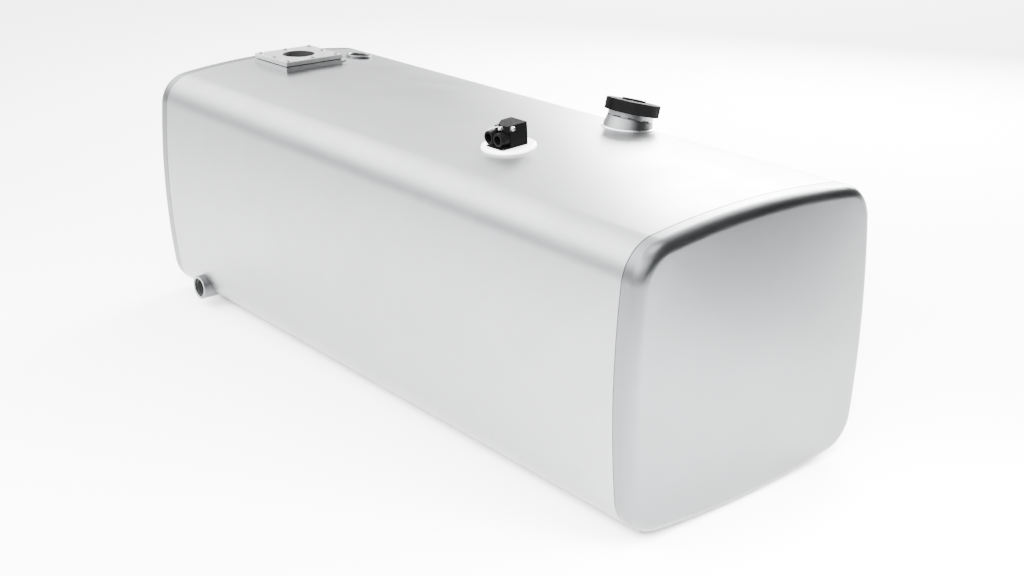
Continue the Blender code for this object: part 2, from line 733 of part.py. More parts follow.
def build_barrel():
    """Key barrel, flush in the top of the cap."""
    lip = BARREL_TOP - BARREL_LIP_HEIGHT
    bottom = BARREL_SEAT + GAP
    barrel = turned("key_barrel", [
        (0.0, BARREL_TOP), (BARREL_LIP_RADIUS, BARREL_TOP), (BARREL_LIP_RADIUS, lip),
        (BARREL_RADIUS, lip), (BARREL_RADIUS, bottom), (0.0, bottom)], FILLER, steps=SMALL_STEPS)
    half_length = KEY_SLOT_LENGTH / 2
    half_width = KEY_SLOT_WIDTH / 2
    cut(barrel, block("key_slot", (-half_length, half_length), (-half_width, half_width),
                      (BARREL_TOP - KEY_SLOT_DEPTH, BARREL_TOP + KEY_SLOT_DEPTH), LOCK, cutter=True))
    return paint(barrel, NICKEL, 0.30, 1.0)


def build_cover():
    """Cover that swings off the key barrel, and the pin that it turns on."""
    cover = flat_shape("lock_cover", [capsule_outline(COVER_LENGTH, COVER_WIDTH)],
                       COVER_BOTTOM, COVER_TOP, LOCK)
    head_seat = COVER_TOP - COVER_RECESS
    cut(cover, bore("cover_eye", PIN_RADIUS + PIN_CLEARANCE, LOCK, at=(PIN_X, 0.0), steps=SMALL_STEPS),
        bore("pin_head_seat", PIN_HEAD_RADIUS + PIN_CLEARANCE, LOCK, bottom=head_seat,
             at=(PIN_X, 0.0), steps=SMALL_STEPS))
    plastic(cover)
    pin_axis = datum("cover_pin_axis", LOCK.matrix_world @ Matrix.Translation((PIN_X, 0, 0)))
    shoulder = head_seat + PIN_CLEARANCE
    tip = CAP_TOP - PIN_DEPTH + GAP
    steel(turned("cover_pin", [
        (0.0, COVER_TOP), (PIN_HEAD_RADIUS, COVER_TOP), (PIN_HEAD_RADIUS, shoulder),
        (PIN_RADIUS, shoulder), (PIN_RADIUS, tip), (0.0, tip)], pin_axis, steps=SMALL_STEPS))


# ---------------------------------------------------------------- level sender
PLUG_TOP = BOSS_HEIGHT
PLUG_BOTTOM = PLUG_TOP - PLUG_THICKNESS
SENDER_GASKET_TOP = PLUG_BOTTOM - GAP
SENDER_LEDGE = SENDER_GASKET_TOP - SENDER_GASKET - GAP
SOLE_BOTTOM = PLUG_TOP + GAP
SOLE_TOP = SOLE_BOTTOM + SOLE_THICKNESS
PORT_HEIGHT = SOLE_TOP + PORT_LIFT + PORT_RADIUS
HOOD_BOTTOM = PORT_HEIGHT + PORT_RADIUS + PORT_HEADROOM
HOUSING_TOP = HOOD_BOTTOM + HOOD_HEIGHT
HOOD_FRONT = HOUSING_FRONT - HOOD_OVERHANG
STEM_TOP = PLUG_TOP - GAP
PIPES = (("suction_pipe", PIPE_SPREAD / 2), ("return_pipe", -PIPE_SPREAD / 2))


def sender_axes(name, origin, x_axis, z_axis):
    """Axes given in those of the sender."""
    return datum(name, SENDER.matrix_world @ frame_at(origin, x_axis, z_axis))


FRONT_STUD = sender_axes("front_stud_axis", (FRONT_STUD_X, HOOD_FRONT, HOUSING_TOP - FRONT_STUD_DROP),
                         (1, 0, 0), (0, -1, 0))
SIDE_STUD = sender_axes("side_stud_axis", (HOUSING_RIGHT, SIDE_STUD_Y, HOUSING_TOP - SIDE_STUD_DROP),
                        (0, 1, 0), (1, 0, 0))
PORT_PITCH = 2 * PORT_RADIUS + PORT_SEPARATION
PORTS = tuple(
    (name, sender_axes(name + "_axis", (PORT_SHIFT + side * PORT_PITCH / 2, HOUSING_FRONT, PORT_HEIGHT),
                       (1, 0, 0), (0, -1, 0)))
    for name, side in (("suction_port", -1), ("return_port", 1)))


def floor_depth():
    """Distance along the sender's axis from the crown to the tank's inner floor."""
    axis = SENDER.matrix_world.to_3x3() @ Vector((0, 0, 1))
    return (surface_z(SENDER_Y) - WALL) / axis.z


def build_boss():
    boss = rod("sender_boss", BOSS_RADIUS, BOSS_HEIGHT, -BOSS_HEIGHT, SENDER, steps=CAP_STEPS)
    cut(boss, TANK_OUTSIDE)
    join(boss, rod("boss_spigot", BOSS_SPIGOT_RADIUS, SENDER_LEDGE, -BOSS_SPIGOT_DEPTH, SENDER,
                   cutter=True))
    cut(boss, bore("boss_bore", BOSS_BORE_RADIUS, SENDER),
        bore("plug_seat", PLUG_RADIUS + GAP, SENDER, bottom=SENDER_LEDGE))
    aluminium(boss)
    rubber(turned("sender_gasket", tube_profile(PLUG_RADIUS, BOSS_BORE_RADIUS, SENDER_GASKET_TOP,
                                                SENDER_GASKET_TOP - SENDER_GASKET), SENDER, ring=True))


def build_plug():
    """Plug, flush in the boss, that carries the stem, both pipes and the head."""
    plug = rod("sender_plug", PLUG_RADIUS, PLUG_TOP, PLUG_BOTTOM, SENDER)
    cut(plug, bore("stem_hole", STEM_RADIUS + GAP, SENDER, at=(STEM_OFFSET_X, 0.0), steps=SMALL_STEPS))
    for name, y in PIPES:
        cut(plug, bore(name + "_hole", PIPE_RADIUS + GAP, SENDER, at=(PIPE_OFFSET_X, y),
                       steps=SMALL_STEPS))
    return aluminium(plug)


def terminal_box(name, clearance, front, cutter=False):
    """The blade's shape, let into the cut corner of the hood, with room all round for its seat."""
    into_cut = max(0.0, HOUSING_LEFT + HOOD_CUT_X - TERMINAL_X)
    face = HOOD_FRONT + into_cut * HOOD_CUT_Y / HOOD_CUT_X
    half = TERMINAL_WIDTH / 2 + clearance
    thick = TERMINAL_THICKNESS / 2 + clearance
    height = HOUSING_TOP - TERMINAL_DROP
    back = face + TERMINAL_SEAT_DEPTH + clearance
    return block(name, (TERMINAL_X - half, TERMINAL_X + half), (front, back),
                 (height - thick, height + thick), SENDER, cutter=cutter)


def build_housing():
    """Moulded head: a body, an overhanging hood with a cut corner, and a sole."""
    hood = [(HOUSING_LEFT, HOUSING_BACK), (HOUSING_LEFT, HOOD_FRONT + HOOD_CUT_Y),
            (HOUSING_LEFT + HOOD_CUT_X, HOOD_FRONT), (HOUSING_RIGHT, HOOD_FRONT),
            (HOUSING_RIGHT, HOUSING_BACK)]
    housing = flat_shape("sender_housing", [hood], HOOD_BOTTOM, HOUSING_TOP, SENDER)
    body = block("housing_body", (HOUSING_LEFT, HOUSING_RIGHT), (HOUSING_FRONT, HOUSING_BACK),
                 (SOLE_BOTTOM, HOOD_BOTTOM + HOOD_HEIGHT / 2), SENDER, cutter=True)
    sole = block("housing_sole", (HOUSING_LEFT - SOLE_MARGIN, HOUSING_RIGHT + SOLE_MARGIN),
                 (HOUSING_FRONT - SOLE_REACH, HOUSING_BACK + SOLE_MARGIN), (SOLE_BOTTOM, SOLE_TOP),
                 SENDER, cutter=True)
    join(housing, body, sole)
    for name, axes in PORTS:
        cut(housing, bore(name + "_seat", PORT_SEAT_RADIUS + GAP, axes, bottom=-PORT_SEAT_DEPTH))
    for name, axes in (("front_stud_seat", FRONT_STUD), ("side_stud_seat", SIDE_STUD)):
        cut(housing, bore(name, STUD_SHANK_RADIUS + GAP, axes, bottom=-STUD_SEAT_DEPTH - GAP,
                          steps=SMALL_STEPS))
    cut(housing, terminal_box("terminal_seat", GAP, -REACH, cutter=True))
    return plastic(housing)


def build_ports():
    """Two blind hose ports, each let into the body up to its shoulder."""
    end = GAP - PORT_SEAT_DEPTH
    floor = end + PORT_FLOOR
    for name, axes in PORTS:
        plastic(turned(name, [
            (0.0, floor), (PORT_BORE_RADIUS, floor), (PORT_BORE_RADIUS, PORT_REACH),
            (PORT_RADIUS, PORT_REACH), (PORT_RADIUS, GAP), (PORT_SEAT_RADIUS, GAP),
            (PORT_SEAT_RADIUS, end), (0.0, end)], axes))


def dome_nut_profile():
    """Dome nut on a short shank."""
    dome = [(0.0, STUD_COLLAR + STUD_RADIUS)]
    for step in range(1, NUT_DOME_STEPS + 1):
        angle = math.pi / 2 * (1 - step / NUT_DOME_STEPS)
        dome.append((STUD_RADIUS * math.cos(angle), STUD_COLLAR + STUD_RADIUS * math.sin(angle)))
    return dome + [(STUD_RADIUS, GAP), (STUD_SHANK_RADIUS, GAP), (STUD_SHANK_RADIUS, -STUD_SEAT_DEPTH),
                   (0.0, -STUD_SEAT_DEPTH)]


def build_contacts():
    """Two dome nuts and a blade terminal on the hood."""
    for name, axes in (("front_dome_nut", FRONT_STUD), ("side_dome_nut", SIDE_STUD)):
        paint(turned(name, dome_nut_profile(), axes, steps=SMALL_STEPS), NICKEL, 0.15, 1.0)
    paint(terminal_box("terminal_blade", 0.0, HOOD_FRONT - TERMINAL_REACH), NICKEL, 0.25, 1.0)


def build_dip_assembly():
    """Stem with its stops and float, and the suction and return pipes."""
    floor = -floor_depth()
    stem_bottom = floor + STEM_FLOOR_CLEARANCE
    steel(rod("float_stem", STEM_RADIUS, STEM_TOP, stem_bottom, SENDER, at=(STEM_OFFSET_X, 0.0),
              steps=SMALL_STEPS))
    stem = datum("float_axis", SENDER.matrix_world @ Matrix.Translation((STEM_OFFSET_X, 0.0, 0.0)))
    eye = STEM_RADIUS + GAP
    lower_top = stem_bottom + STOP_HEIGHT
    for name, top in (("lower_stop", lower_top), ("upper_stop", -UPPER_STOP_DEPTH)):
        plastic(turned(name, tube_profile(eye + STOP_WALL, eye, top, top - STOP_HEIGHT), stem,
                       ring=True, steps=SMALL_STEPS))
    build_float(stem, lower_top + GAP)
    for (name, y), bottom in zip(PIPES, (floor + SUCTION_FLOOR_CLEARANCE, -RETURN_LENGTH)):
        axes = datum(name + "_axis", SENDER.matrix_world @ Matrix.Translation((PIPE_OFFSET_X, y, 0.0)))
        steel(turned(name, tube_profile(PIPE_RADIUS, PIPE_RADIUS - PIPE_WALL, STEM_TOP, bottom), axes,
                     ring=True, steps=SMALL_STEPS))


def build_float(stem, bottom):
    eye = STEM_RADIUS + FLOAT_CLEARANCE
    top = bottom + FLOAT_HEIGHT
    shoulder = FLOAT_RADIUS - FLOAT_EDGE
    profile = [(eye, top), (shoulder, top), (FLOAT_RADIUS, top - FLOAT_EDGE),
               (FLOAT_RADIUS, bottom + FLOAT_EDGE), (shoulder, bottom), (eye, bottom)]
    paint(turned("float", profile, stem, ring=True, steps=FLOAT_STEPS), FLOAT_FOAM, 0.7, 0.0)


# ---------------------------------------------------------------- access plate
ACCESS_GASKET_BOTTOM = FRAME_HEIGHT + GAP
ACCESS_GASKET_TOP = ACCESS_GASKET_BOTTOM + ACCESS_GASKET
PLATE_BOTTOM = ACCESS_GASKET_TOP + GAP
PLATE_TOP = PLATE_BOTTOM + PLATE_THICKNESS
HEAD_BOTTOM = PLATE_TOP + GAP
TAPPED_BOTTOM = FRAME_HEIGHT - BOLT_TAPPED_DEPTH
LUG = datum("lug_axis", frame_at(
    (ACCESS_X + ACCESS_HALF_X - LUG_INSET, ACCESS_Y + ACCESS_HALF_Y, CROWN_Z + LUG_HEIGHT),
    (1, 0, 0), (0, 1, 0)))


def bolt_places():
    """Corners and middles of the sides."""
    reach_x = ACCESS_HALF_X - BOLT_INSET
    reach_y = ACCESS_HALF_Y - BOLT_INSET
    steps = (-1, 0, 1)
    return [(x * reach_x, y * reach_y) for x in steps for y in steps if x or y]


def access_slab(name, bottom, top, inset=0.0):
    half_x = ACCESS_HALF_X - inset
    half_y = ACCESS_HALF_Y - inset
    return block(name, (-half_x, half_x), (-half_y, half_y), (bottom, top), ACCESS)


def bolt_holes(name, radius, bottom):
    """One cutter that holds all eight holes."""
    bm = bmesh.new()
    for x, y in bolt_places():
        shift = Matrix.Translation((x, y, (REACH + bottom) / 2))
        bmesh.ops.create_cone(bm, cap_ends=True, segments=BOLT_STEPS, radius1=radius, radius2=radius,
                              depth=REACH - bottom, matrix=shift)
    return place(name, mesh_from(name, bm), ACCESS, cutter=True)


def build_access():
    """Frame welded to the crown, a flat gasket, and the plate with its round hole."""
    frame = access_slab("access_frame", -FRAME_HEIGHT, FRAME_HEIGHT)
    cut(frame, TANK_OUTSIDE, bore("frame_hole", FRAME_HOLE_RADIUS, ACCESS),
        bolt_holes("tapped_holes", BOLT_RADIUS + GAP, TAPPED_BOTTOM),
        bore("lug_seat", LUG_RADIUS + GAP, LUG, bottom=-LUG_SEAT_DEPTH - GAP, steps=SMALL_STEPS))
    aluminium(frame)
    gasket = access_slab("access_gasket", ACCESS_GASKET_BOTTOM, ACCESS_GASKET_TOP, PLATE_EDGE)
    cut(gasket, bore("gasket_hole", FRAME_HOLE_RADIUS, ACCESS),
        bolt_holes("gasket_bolt_holes", BOLT_RADIUS + BOLT_CLEARANCE, -REACH))
    rubber(gasket)
    plate = access_slab("access_plate", PLATE_BOTTOM, PLATE_TOP)
    chamfer(plate, PLATE_EDGE)
    cut(plate, bore("plate_hole", PLATE_HOLE_RADIUS, ACCESS),
        bolt_holes("plate_bolt_holes", BOLT_RADIUS + BOLT_CLEARANCE, -REACH))
    aluminium(plate)


def build_bolts():
    for index, at in enumerate(bolt_places()):
        bolt = rod(f"access_bolt_{index + 1}", BOLT_FLATS / math.sqrt(3), HEAD_BOTTOM + BOLT_HEAD,
                   HEAD_BOTTOM, ACCESS, at=at, steps=HEX_SIDES, turn=index * BOLT_TURN)
        join(bolt, rod(f"shank_{index + 1}", BOLT_RADIUS, HEAD_BOTTOM + BOLT_HEAD / 2,
                       TAPPED_BOTTOM + GAP, ACCESS, at=at, steps=BOLT_STEPS, cutter=True))
        steel(bolt)


def build_lug():
    """Earth stud on the frame's far side."""
    collar_radius = LUG_RADIUS + LUG_COLLAR_WALL
    steel(turned("earth_stud", [
        (0.0, LUG_REACH), (LUG_RADIUS, LUG_REACH), (LUG_RADIUS, LUG_COLLAR), (collar_radius, LUG_COLLAR),
        (collar_radius, GAP), (LUG_RADIUS, GAP), (LUG_RADIUS, -LUG_SEAT_DEPTH), (0.0, -LUG_SEAT_DEPTH)],
        LUG, steps=SMALL_STEPS))


# ---------------------------------------------------------------- sockets
def build_vent():
    """Low bung with a chamfered mouth and a spigot through the wrapper."""
    vent = turned("vent_bung", [
        (0.0, VENT_HEIGHT), (VENT_RADIUS - VENT_EDGE, VENT_HEIGHT), (VENT_RADIUS, VENT_HEIGHT - VENT_EDGE),
        (VENT_RADIUS, -VENT_HEIGHT), (0.0, -VENT_HEIGHT)], VENT)
    cut(vent, TANK_OUTSIDE)
    join(vent, rod("vent_spigot", VENT_BORE_RADIUS + SPIGOT_WALL, VENT_HEIGHT / 2, -SPIGOT_DEPTH, VENT,
                   cutter=True))
    mouth = VENT_HEIGHT + VENT_FUNNEL
    cut(vent, turned("vent_mouth", [
        (0.0, mouth), (VENT_BORE_RADIUS + VENT_EDGE + VENT_FUNNEL, mouth),
        (VENT_BORE_RADIUS, VENT_HEIGHT - VENT_EDGE), (VENT_BORE_RADIUS, -2 * SPIGOT_DEPTH),
        (0.0, -2 * SPIGOT_DEPTH)], VENT, cutter=True))
    return aluminium(vent)


def build_outlet():
    """Socket on the lower corner, with a stepped bore and a spigot through the wrapper."""
    outlet = turned("outlet_socket", [
        (0.0, 0.0), (OUTLET_RADIUS - OUTLET_EDGE, 0.0), (OUTLET_RADIUS, -OUTLET_EDGE),
        (OUTLET_RADIUS, -OUTLET_LENGTH), (0.0, -OUTLET_LENGTH)], OUTLET)
    cut(outlet, TANK_OUTSIDE)
    join(outlet, rod("outlet_spigot", OUTLET_STEP_RADIUS + SPIGOT_WALL,
                     -OUTLET_STEP_DEPTH - SPIGOT_WALL, -OUTLET_LENGTH, OUTLET, cutter=True))
    cut(outlet, bore("outlet_bore", OUTLET_STEP_RADIUS, OUTLET),
        bore("outlet_counterbore", OUTLET_BORE_RADIUS, OUTLET, bottom=-OUTLET_STEP_DEPTH))
    return aluminium(outlet)


# ---------------------------------------------------------------- assembly
build_wrapper()
build_end("near_end", 1)
build_end("far_end", -1)
build_baffles()
build_neck()
build_collar()
build_insert()
build_cap()
build_barrel()
build_cover()
build_boss()
build_plug()
build_housing()
build_ports()
build_contacts()
build_dip_assembly()
build_access()
build_bolts()
build_lug()
build_vent()
build_outlet()

bpy.context.view_layer.update()
for piece in list(TANK.objects):
    if piece.type == "MESH":
        shade_round(piece)
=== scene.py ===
"""Looks of the fresh water tank: smooth sheet metal, turned fittings, moulded plastic and soft light.

Metres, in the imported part's own frame: X runs along the tank, the outlet is on the -Y side and Z is up.
Each shown piece stands for the CAD node of the same name, on the same axes.
"""
import json
import math

import bmesh
import bpy
from mathutils import Matrix, Vector

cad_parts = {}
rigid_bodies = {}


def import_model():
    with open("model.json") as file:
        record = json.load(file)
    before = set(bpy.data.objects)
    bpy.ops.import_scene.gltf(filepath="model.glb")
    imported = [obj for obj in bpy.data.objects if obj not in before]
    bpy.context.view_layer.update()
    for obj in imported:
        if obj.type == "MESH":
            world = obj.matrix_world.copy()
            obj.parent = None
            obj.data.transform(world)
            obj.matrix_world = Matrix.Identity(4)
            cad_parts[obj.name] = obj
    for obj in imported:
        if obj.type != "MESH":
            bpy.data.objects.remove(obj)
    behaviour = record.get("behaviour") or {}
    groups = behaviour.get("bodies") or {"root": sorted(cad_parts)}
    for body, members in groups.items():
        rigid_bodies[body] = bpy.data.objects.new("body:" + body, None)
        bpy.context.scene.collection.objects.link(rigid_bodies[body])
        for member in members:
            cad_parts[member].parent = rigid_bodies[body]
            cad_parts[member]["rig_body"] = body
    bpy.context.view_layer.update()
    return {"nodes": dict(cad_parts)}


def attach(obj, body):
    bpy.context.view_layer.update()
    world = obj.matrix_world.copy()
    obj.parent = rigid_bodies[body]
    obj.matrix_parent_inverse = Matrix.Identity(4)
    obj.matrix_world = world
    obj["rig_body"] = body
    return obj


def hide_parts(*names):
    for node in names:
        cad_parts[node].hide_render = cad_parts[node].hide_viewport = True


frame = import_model()

# ---------------------------------------------------------------- the tank's section and ends
GAP = 0.0003
HALF_WIDTH = 0.340
HALF_HEIGHT = 0.310
CROWN_RADIUS = 2.000
CORNER_RADIUS = 0.085
LENGTH = 1.716
WALL = 0.003
RIM = 0.020
KNUCKLE_RADIUS = 0.028
KNUCKLE_TURN = math.radians(81)
DOME_RISE = 0.0230
LIP_LENGTH = 0.014
JOGGLE_START = 0.003
JOGGLE_END = 0.010
CENTRE_Z = 0.3093497
CROWN_Z = CENTRE_Z + HALF_HEIGHT
SKIN = 0.0007              # the smooth skin lies this far inside the corners of the CAD's facets
SEAM_GAP = 0.0012          # what shows between the sheet and an end
SEAM_EDGE = 0.0008         # rounding of the sheet's edge at a seam

# ---------------------------------------------------------------- smoothness
CROWN_STEPS = 16
CORNER_STEPS = 12
KNUCKLE_STEPS = 12
DOME_STEPS = 20
ROUND = 96
SMALL_ROUND = 40
SOFT_STEPS = 4
BEVEL_SEGMENTS = 3
SHARP_ANGLE = math.radians(38)
SIDE_SHARE = 0.49          # the most that a rounding takes of a side
TINY_EDGE = 0.0004         # roundings that many pieces share
SMALL_EDGE = 0.0006
SEAL_EDGE = 0.0003
REACH = 0.060              # how far a cutter goes beyond what it cuts


# ---------------------------------------------------------------- axes
def corner_centre():
    """Centre of the upper right corner arc, which is tangent to both crowned sides."""
    side = Vector((HALF_WIDTH - CROWN_RADIUS, 0.0))
    top = Vector((0.0, HALF_HEIGHT - CROWN_RADIUS))
    between = top - side
    height = math.sqrt((CROWN_RADIUS - CORNER_RADIUS) ** 2 - between.length_squared / 4)
    outward = Vector((-between.y, between.x)).normalized()
    return (side + top) / 2 + outward * height


CORNER = corner_centre()
SIDE_OFFSET = CROWN_RADIUS - HALF_WIDTH
TOP_OFFSET = CROWN_RADIUS - HALF_HEIGHT
RISE = math.atan2(CORNER.y, CORNER.x + SIDE_OFFSET)
LEAN = math.atan2(CORNER.x, CORNER.y + TOP_OFFSET)


def section(inset=0.0):
    """Points (y, z) round the section, all set in by the same amount, from the middle up."""
    quarter = math.pi / 2
    arcs = []
    for turn in range(4):
        off, half, next_half = (SIDE_OFFSET, RISE, LEAN) if turn % 2 == 0 else (TOP_OFFSET, LEAN, RISE)
        axis = turn * quarter
        centre = Vector((-off * math.cos(axis), -off * math.sin(axis)))
        arcs.append((centre, CROWN_RADIUS, axis - half, axis + half, CROWN_STEPS))
        tip = Vector((CORNER.x if turn in (0, 3) else -CORNER.x, CORNER.y if turn < 2 else -CORNER.y))
        arcs.append((tip, CORNER_RADIUS, axis + half, axis + quarter - next_half, CORNER_STEPS))
    points = []
    for centre, radius, start, end, steps in arcs:
        for step in range(steps):
            angle = start + (end - start) * step / steps
            reach = radius - inset
            points.append((centre.x + reach * math.cos(angle), centre.y + reach * math.sin(angle)))
    return points


def outward(point):
    """Direction straight out of the wrapper's skin at a point."""
    y, z = abs(point.y), abs(point.z - CENTRE_Z)
    from_side = math.atan2(z, y + SIDE_OFFSET)
    from_top = math.atan2(y, z + TOP_OFFSET)
    if from_side <= RISE:
        flat = Vector((math.cos(from_side), math.sin(from_side)))
    elif from_top <= LEAN:
        flat = Vector((math.sin(from_top), math.cos(from_top)))
    else:
        flat = (Vector((y, z)) - CORNER).normalized()
    return Vector((0.0, math.copysign(flat.x, point.y), math.copysign(flat.y, point.z - CENTRE_Z)))


def surface_z(y):
    """Height of the top crown at y."""
    return CROWN_Z - CROWN_RADIUS + math.sqrt(CROWN_RADIUS ** 2 - y ** 2)


def frame_at(origin, x_axis, z_axis):
    """Axes with the given Z, and an X as near as possible to the given one."""
    up = Vector(z_axis).normalized()
    across = up.cross(Vector(x_axis)).normalized()
    along = across.cross(up)
    return Matrix.Translation(origin) @ Matrix((along, across, up)).transposed().to_4x4()


def crown_frame(x, y):
    """Axes standing on the top crown, square to it."""
    slope = y / CROWN_RADIUS
    return frame_at((x, y, surface_z(y)), (1, 0, 0), (0, slope, math.sqrt(1 - slope ** 2)))


def leaning(x, y, lean):
    """Axes that start on the top crown and lean towards the far long side."""
    return frame_at((x, y, surface_z(y)), (1, 0, 0), (0, math.sin(lean), math.cos(lean)))


FILLER_X = 0.295
FILLER_Y = 0.234
FILLER_LEAN = math.radians(14.8)
COVER_TURN = math.radians(46)
SENDER_X = 0.282
SENDER_Y = -0.105
ACCESS_X = -0.718
ACCESS_Y = -0.003
VENT_X = -0.716
VENT_Y = 0.187
OUTLET_MOUTH = (-0.7267, -0.3437, 0.05825)

FILLER = leaning(FILLER_X, FILLER_Y, FILLER_LEAN)
LOCK = FILLER @ Matrix.Rotation(COVER_TURN, 4, "Z")
SENDER = crown_frame(SENDER_X, SENDER_Y)
ACCESS = Matrix.Translation((ACCESS_X, ACCESS_Y, CROWN_Z))
VENT = crown_frame(VENT_X, VENT_Y)
OUTLET = frame_at(OUTLET_MOUTH, (1, 0, 0), (0, -1, 0))


# ---------------------------------------------------------------- shape helpers
def softened(outline, ring):
    """Replace each corner that carries a third number by an arc that is cut back by that much."""
    points = []
    count = len(outline)
    for index, corner in enumerate(outline):
        here = Vector(corner[:2])
        soft = corner[2] if len(corner) > 2 else 0.0
        if not soft or (not ring and index in (0, count - 1)):
            points.append(here)
            continue
        before = Vector(outline[index - 1][:2]) - here
        after = Vector(outline[(index + 1) % count][:2]) - here
        start = here + before * min(soft / before.length, SIDE_SHARE)
        end = here + after * min(soft / after.length, SIDE_SHARE)
        for step in range(SOFT_STEPS + 1):
            share = step / SOFT_STEPS
            points.append(start * (1 - share) ** 2 + here * (2 * share * (1 - share)) + end * share ** 2)
    return points


def mesh_from(bm):
    """A mesh of what was built, with its faces turned outwards."""
    mesh = bpy.data.meshes.new("shape")
    bmesh.ops.recalc_face_normals(bm, faces=bm.faces)
    bm.to_mesh(mesh)
    bm.free()
    return mesh


def skin_rows(rows, closed):
    """Skin rows of points into one closed body; a row of one point closes an end."""
    bm = bmesh.new()
    rows = [[bm.verts.new(point) for point in row] for row in rows]
    for row, following in zip(rows, rows[1:] + rows[:1] if closed else rows[1:]):
        count = max(len(row), len(following))
        for index in range(count):
            after = (index + 1) % count
            corners = [row[index % len(row)], row[after % len(row)],
                       following[after % len(following)], following[index % len(following)]]
            bm.faces.new(list(dict.fromkeys(corners)))
    return mesh_from(bm)


def turned(profile, axes, steps=ROUND, ring=False):
    """A turned body: (radius, height) or (radius, height, softening) points down its outer side."""
    rows = []
    for radius, height in softened(profile, ring):
        if radius < 1e-6:
            rows.append([axes @ Vector((0.0, 0.0, height))])
        else:
            turns = [math.tau * step / steps for step in range(steps)]
            rows.append([axes @ Vector((radius * math.cos(turn), radius * math.sin(turn), height))
                         for turn in turns])
    return skin_rows(rows, ring)


def rod(radius, top, bottom, axes, at=(0.0, 0.0), steps=ROUND):
    """A plain cylinder, used to cut and join."""
    return turned([(0.0, top), (radius, top), (radius, bottom), (0.0, bottom)],
                  axes @ Matrix.Translation((at[0], at[1], 0.0)), steps)


def stepped_bore(steps, axes, sides=ROUND):
    """A cutter of (radius, the height that it goes down to) steps, from well above."""
    profile = [(0.0, 2 * REACH)]
    top = 2 * REACH
    for radius, bottom in steps:
        profile += [(radius, top), (radius, bottom)]
        top = bottom
    return turned(profile + [(0.0, top)], axes, sides)


def prism(outline, bottom, top, axes):
    """A flat shape between two heights; corners of its outline may carry a softening."""
    points = softened(outline, True)
    bm = bmesh.new()
    lower, upper = ([bm.verts.new(axes @ Vector((*point, height))) for point in points]
                    for height in (bottom, top))
    bm.faces.new(lower)
    bm.faces.new(upper)
    for index in range(len(points)):
        after = (index + 1) % len(points)
        bm.faces.new((lower[index], lower[after], upper[after], upper[index]))
    return mesh_from(bm)


def rectangle(x_range, y_range, soft=0.0):
    (left, right), (front, back) = x_range, y_range
    return [(left, front, soft), (right, front, soft), (right, back, soft), (left, back, soft)]


def block(x_range, y_range, z_range, axes, soft=0.0):
    return prism(rectangle(x_range, y_range, soft), *z_range, axes)


def thing(name, mesh):
    piece = bpy.data.objects.new(name, mesh)
    bpy.context.scene.collection.objects.link(piece)
    return piece


def applied(piece):
    """Keep what the modifiers make of a piece, and drop them."""
    seen = piece.evaluated_get(bpy.context.evaluated_depsgraph_get())
    mesh = bpy.data.meshes.new_from_object(seen)
    piece.modifiers.clear()
    piece.data = mesh


def worked(piece, changes, bevel):
    """Cut and join other bodies, round the edges that are left, and shade the faces as they lie."""
    helpers = []
    for operation, mesh in changes:
        helper = thing("helper", mesh)
        helpers.append(helper)
        modifier = piece.modifiers.new("change", "BOOLEAN")
        modifier.operation = operation
        modifier.solver = "EXACT"
        modifier.object = helper
    if bevel:
        modifier = piece.modifiers.new("edges", "BEVEL")
        modifier.width = bevel
        modifier.segments = BEVEL_SEGMENTS
        modifier.limit_method = "ANGLE"
        modifier.angle_limit = SHARP_ANGLE
    applied(piece)
    piece.data.shade_smooth()
    piece.data.set_sharp_from_angle(angle=SHARP_ANGLE)
    weighted = piece.modifiers.new("weighted", "WEIGHTED_NORMAL")
    weighted.keep_sharp = True
    applied(piece)
    for helper in helpers:
        bpy.data.objects.remove(helper)


def finished(piece, slot, finish=None):
    """Give a piece one of the record's material slots, and that slot's finish or another one."""
    piece.data.materials.clear()
    piece.data.materials.append(FINISHES[finish or slot])


def show(node, mesh, slot, cuts=(), joins=(), late_cuts=(), bevel=0.0, finish=None):
    """A piece that stands for a CAD node: it is cut, joined and cut again, and rides as the node does."""
    piece = thing(node + "_shown", mesh)
    changes = [("DIFFERENCE", m) for m in cuts] + [("UNION", m) for m in joins]
    worked(piece, changes + [("DIFFERENCE", m) for m in late_cuts], bevel)
    piece.data.name = piece.name
    finished(piece, slot, finish)
    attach(piece, frame["nodes"][node]["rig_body"])
    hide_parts(node)
    return piece


def shade_piece(name, mesh):
    """A dark piece of painted shade that stands for no CAD node and stays with the tank."""
    piece = thing(name, mesh)
    finished(piece, "rubber")
    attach(piece, "tank")


# ---------------------------------------------------------------- finishes
def new_material(name):
    material = bpy.data.materials.new(name)
    material.use_nodes = True
    tree = material.node_tree
    return material, tree, tree.nodes["Principled BSDF"]


def noise_of(tree, coordinates, scale, stretch=(1.0, 1.0, 1.0), detail=2.0):
    """Noise in the object's own coordinates; scale is in features per metre."""
    mapping = tree.nodes.new("ShaderNodeMapping")
    mapping.inputs["Scale"].default_value = stretch
    noise = tree.nodes.new("ShaderNodeTexNoise")
    noise.inputs["Scale"].default_value = scale
    noise.inputs["Detail"].default_value = detail
    tree.links.new(coordinates, mapping.inputs["Vector"])
    tree.links.new(mapping.outputs["Vector"], noise.inputs["Vector"])
    return noise.outputs["Fac"]


def ranged(tree, value, low, high, start=0.3, end=0.7):
    """A value that runs from start to end, brought to run from low to high."""
    node = tree.nodes.new("ShaderNodeMapRange")
    node.inputs["From Min"].default_value = start
    node.inputs["From Max"].default_value = end
    node.inputs["To Min"].default_value = low
    node.inputs["To Max"].default_value = high
    tree.links.new(value, node.inputs["Value"])
    return node.outputs["Result"]


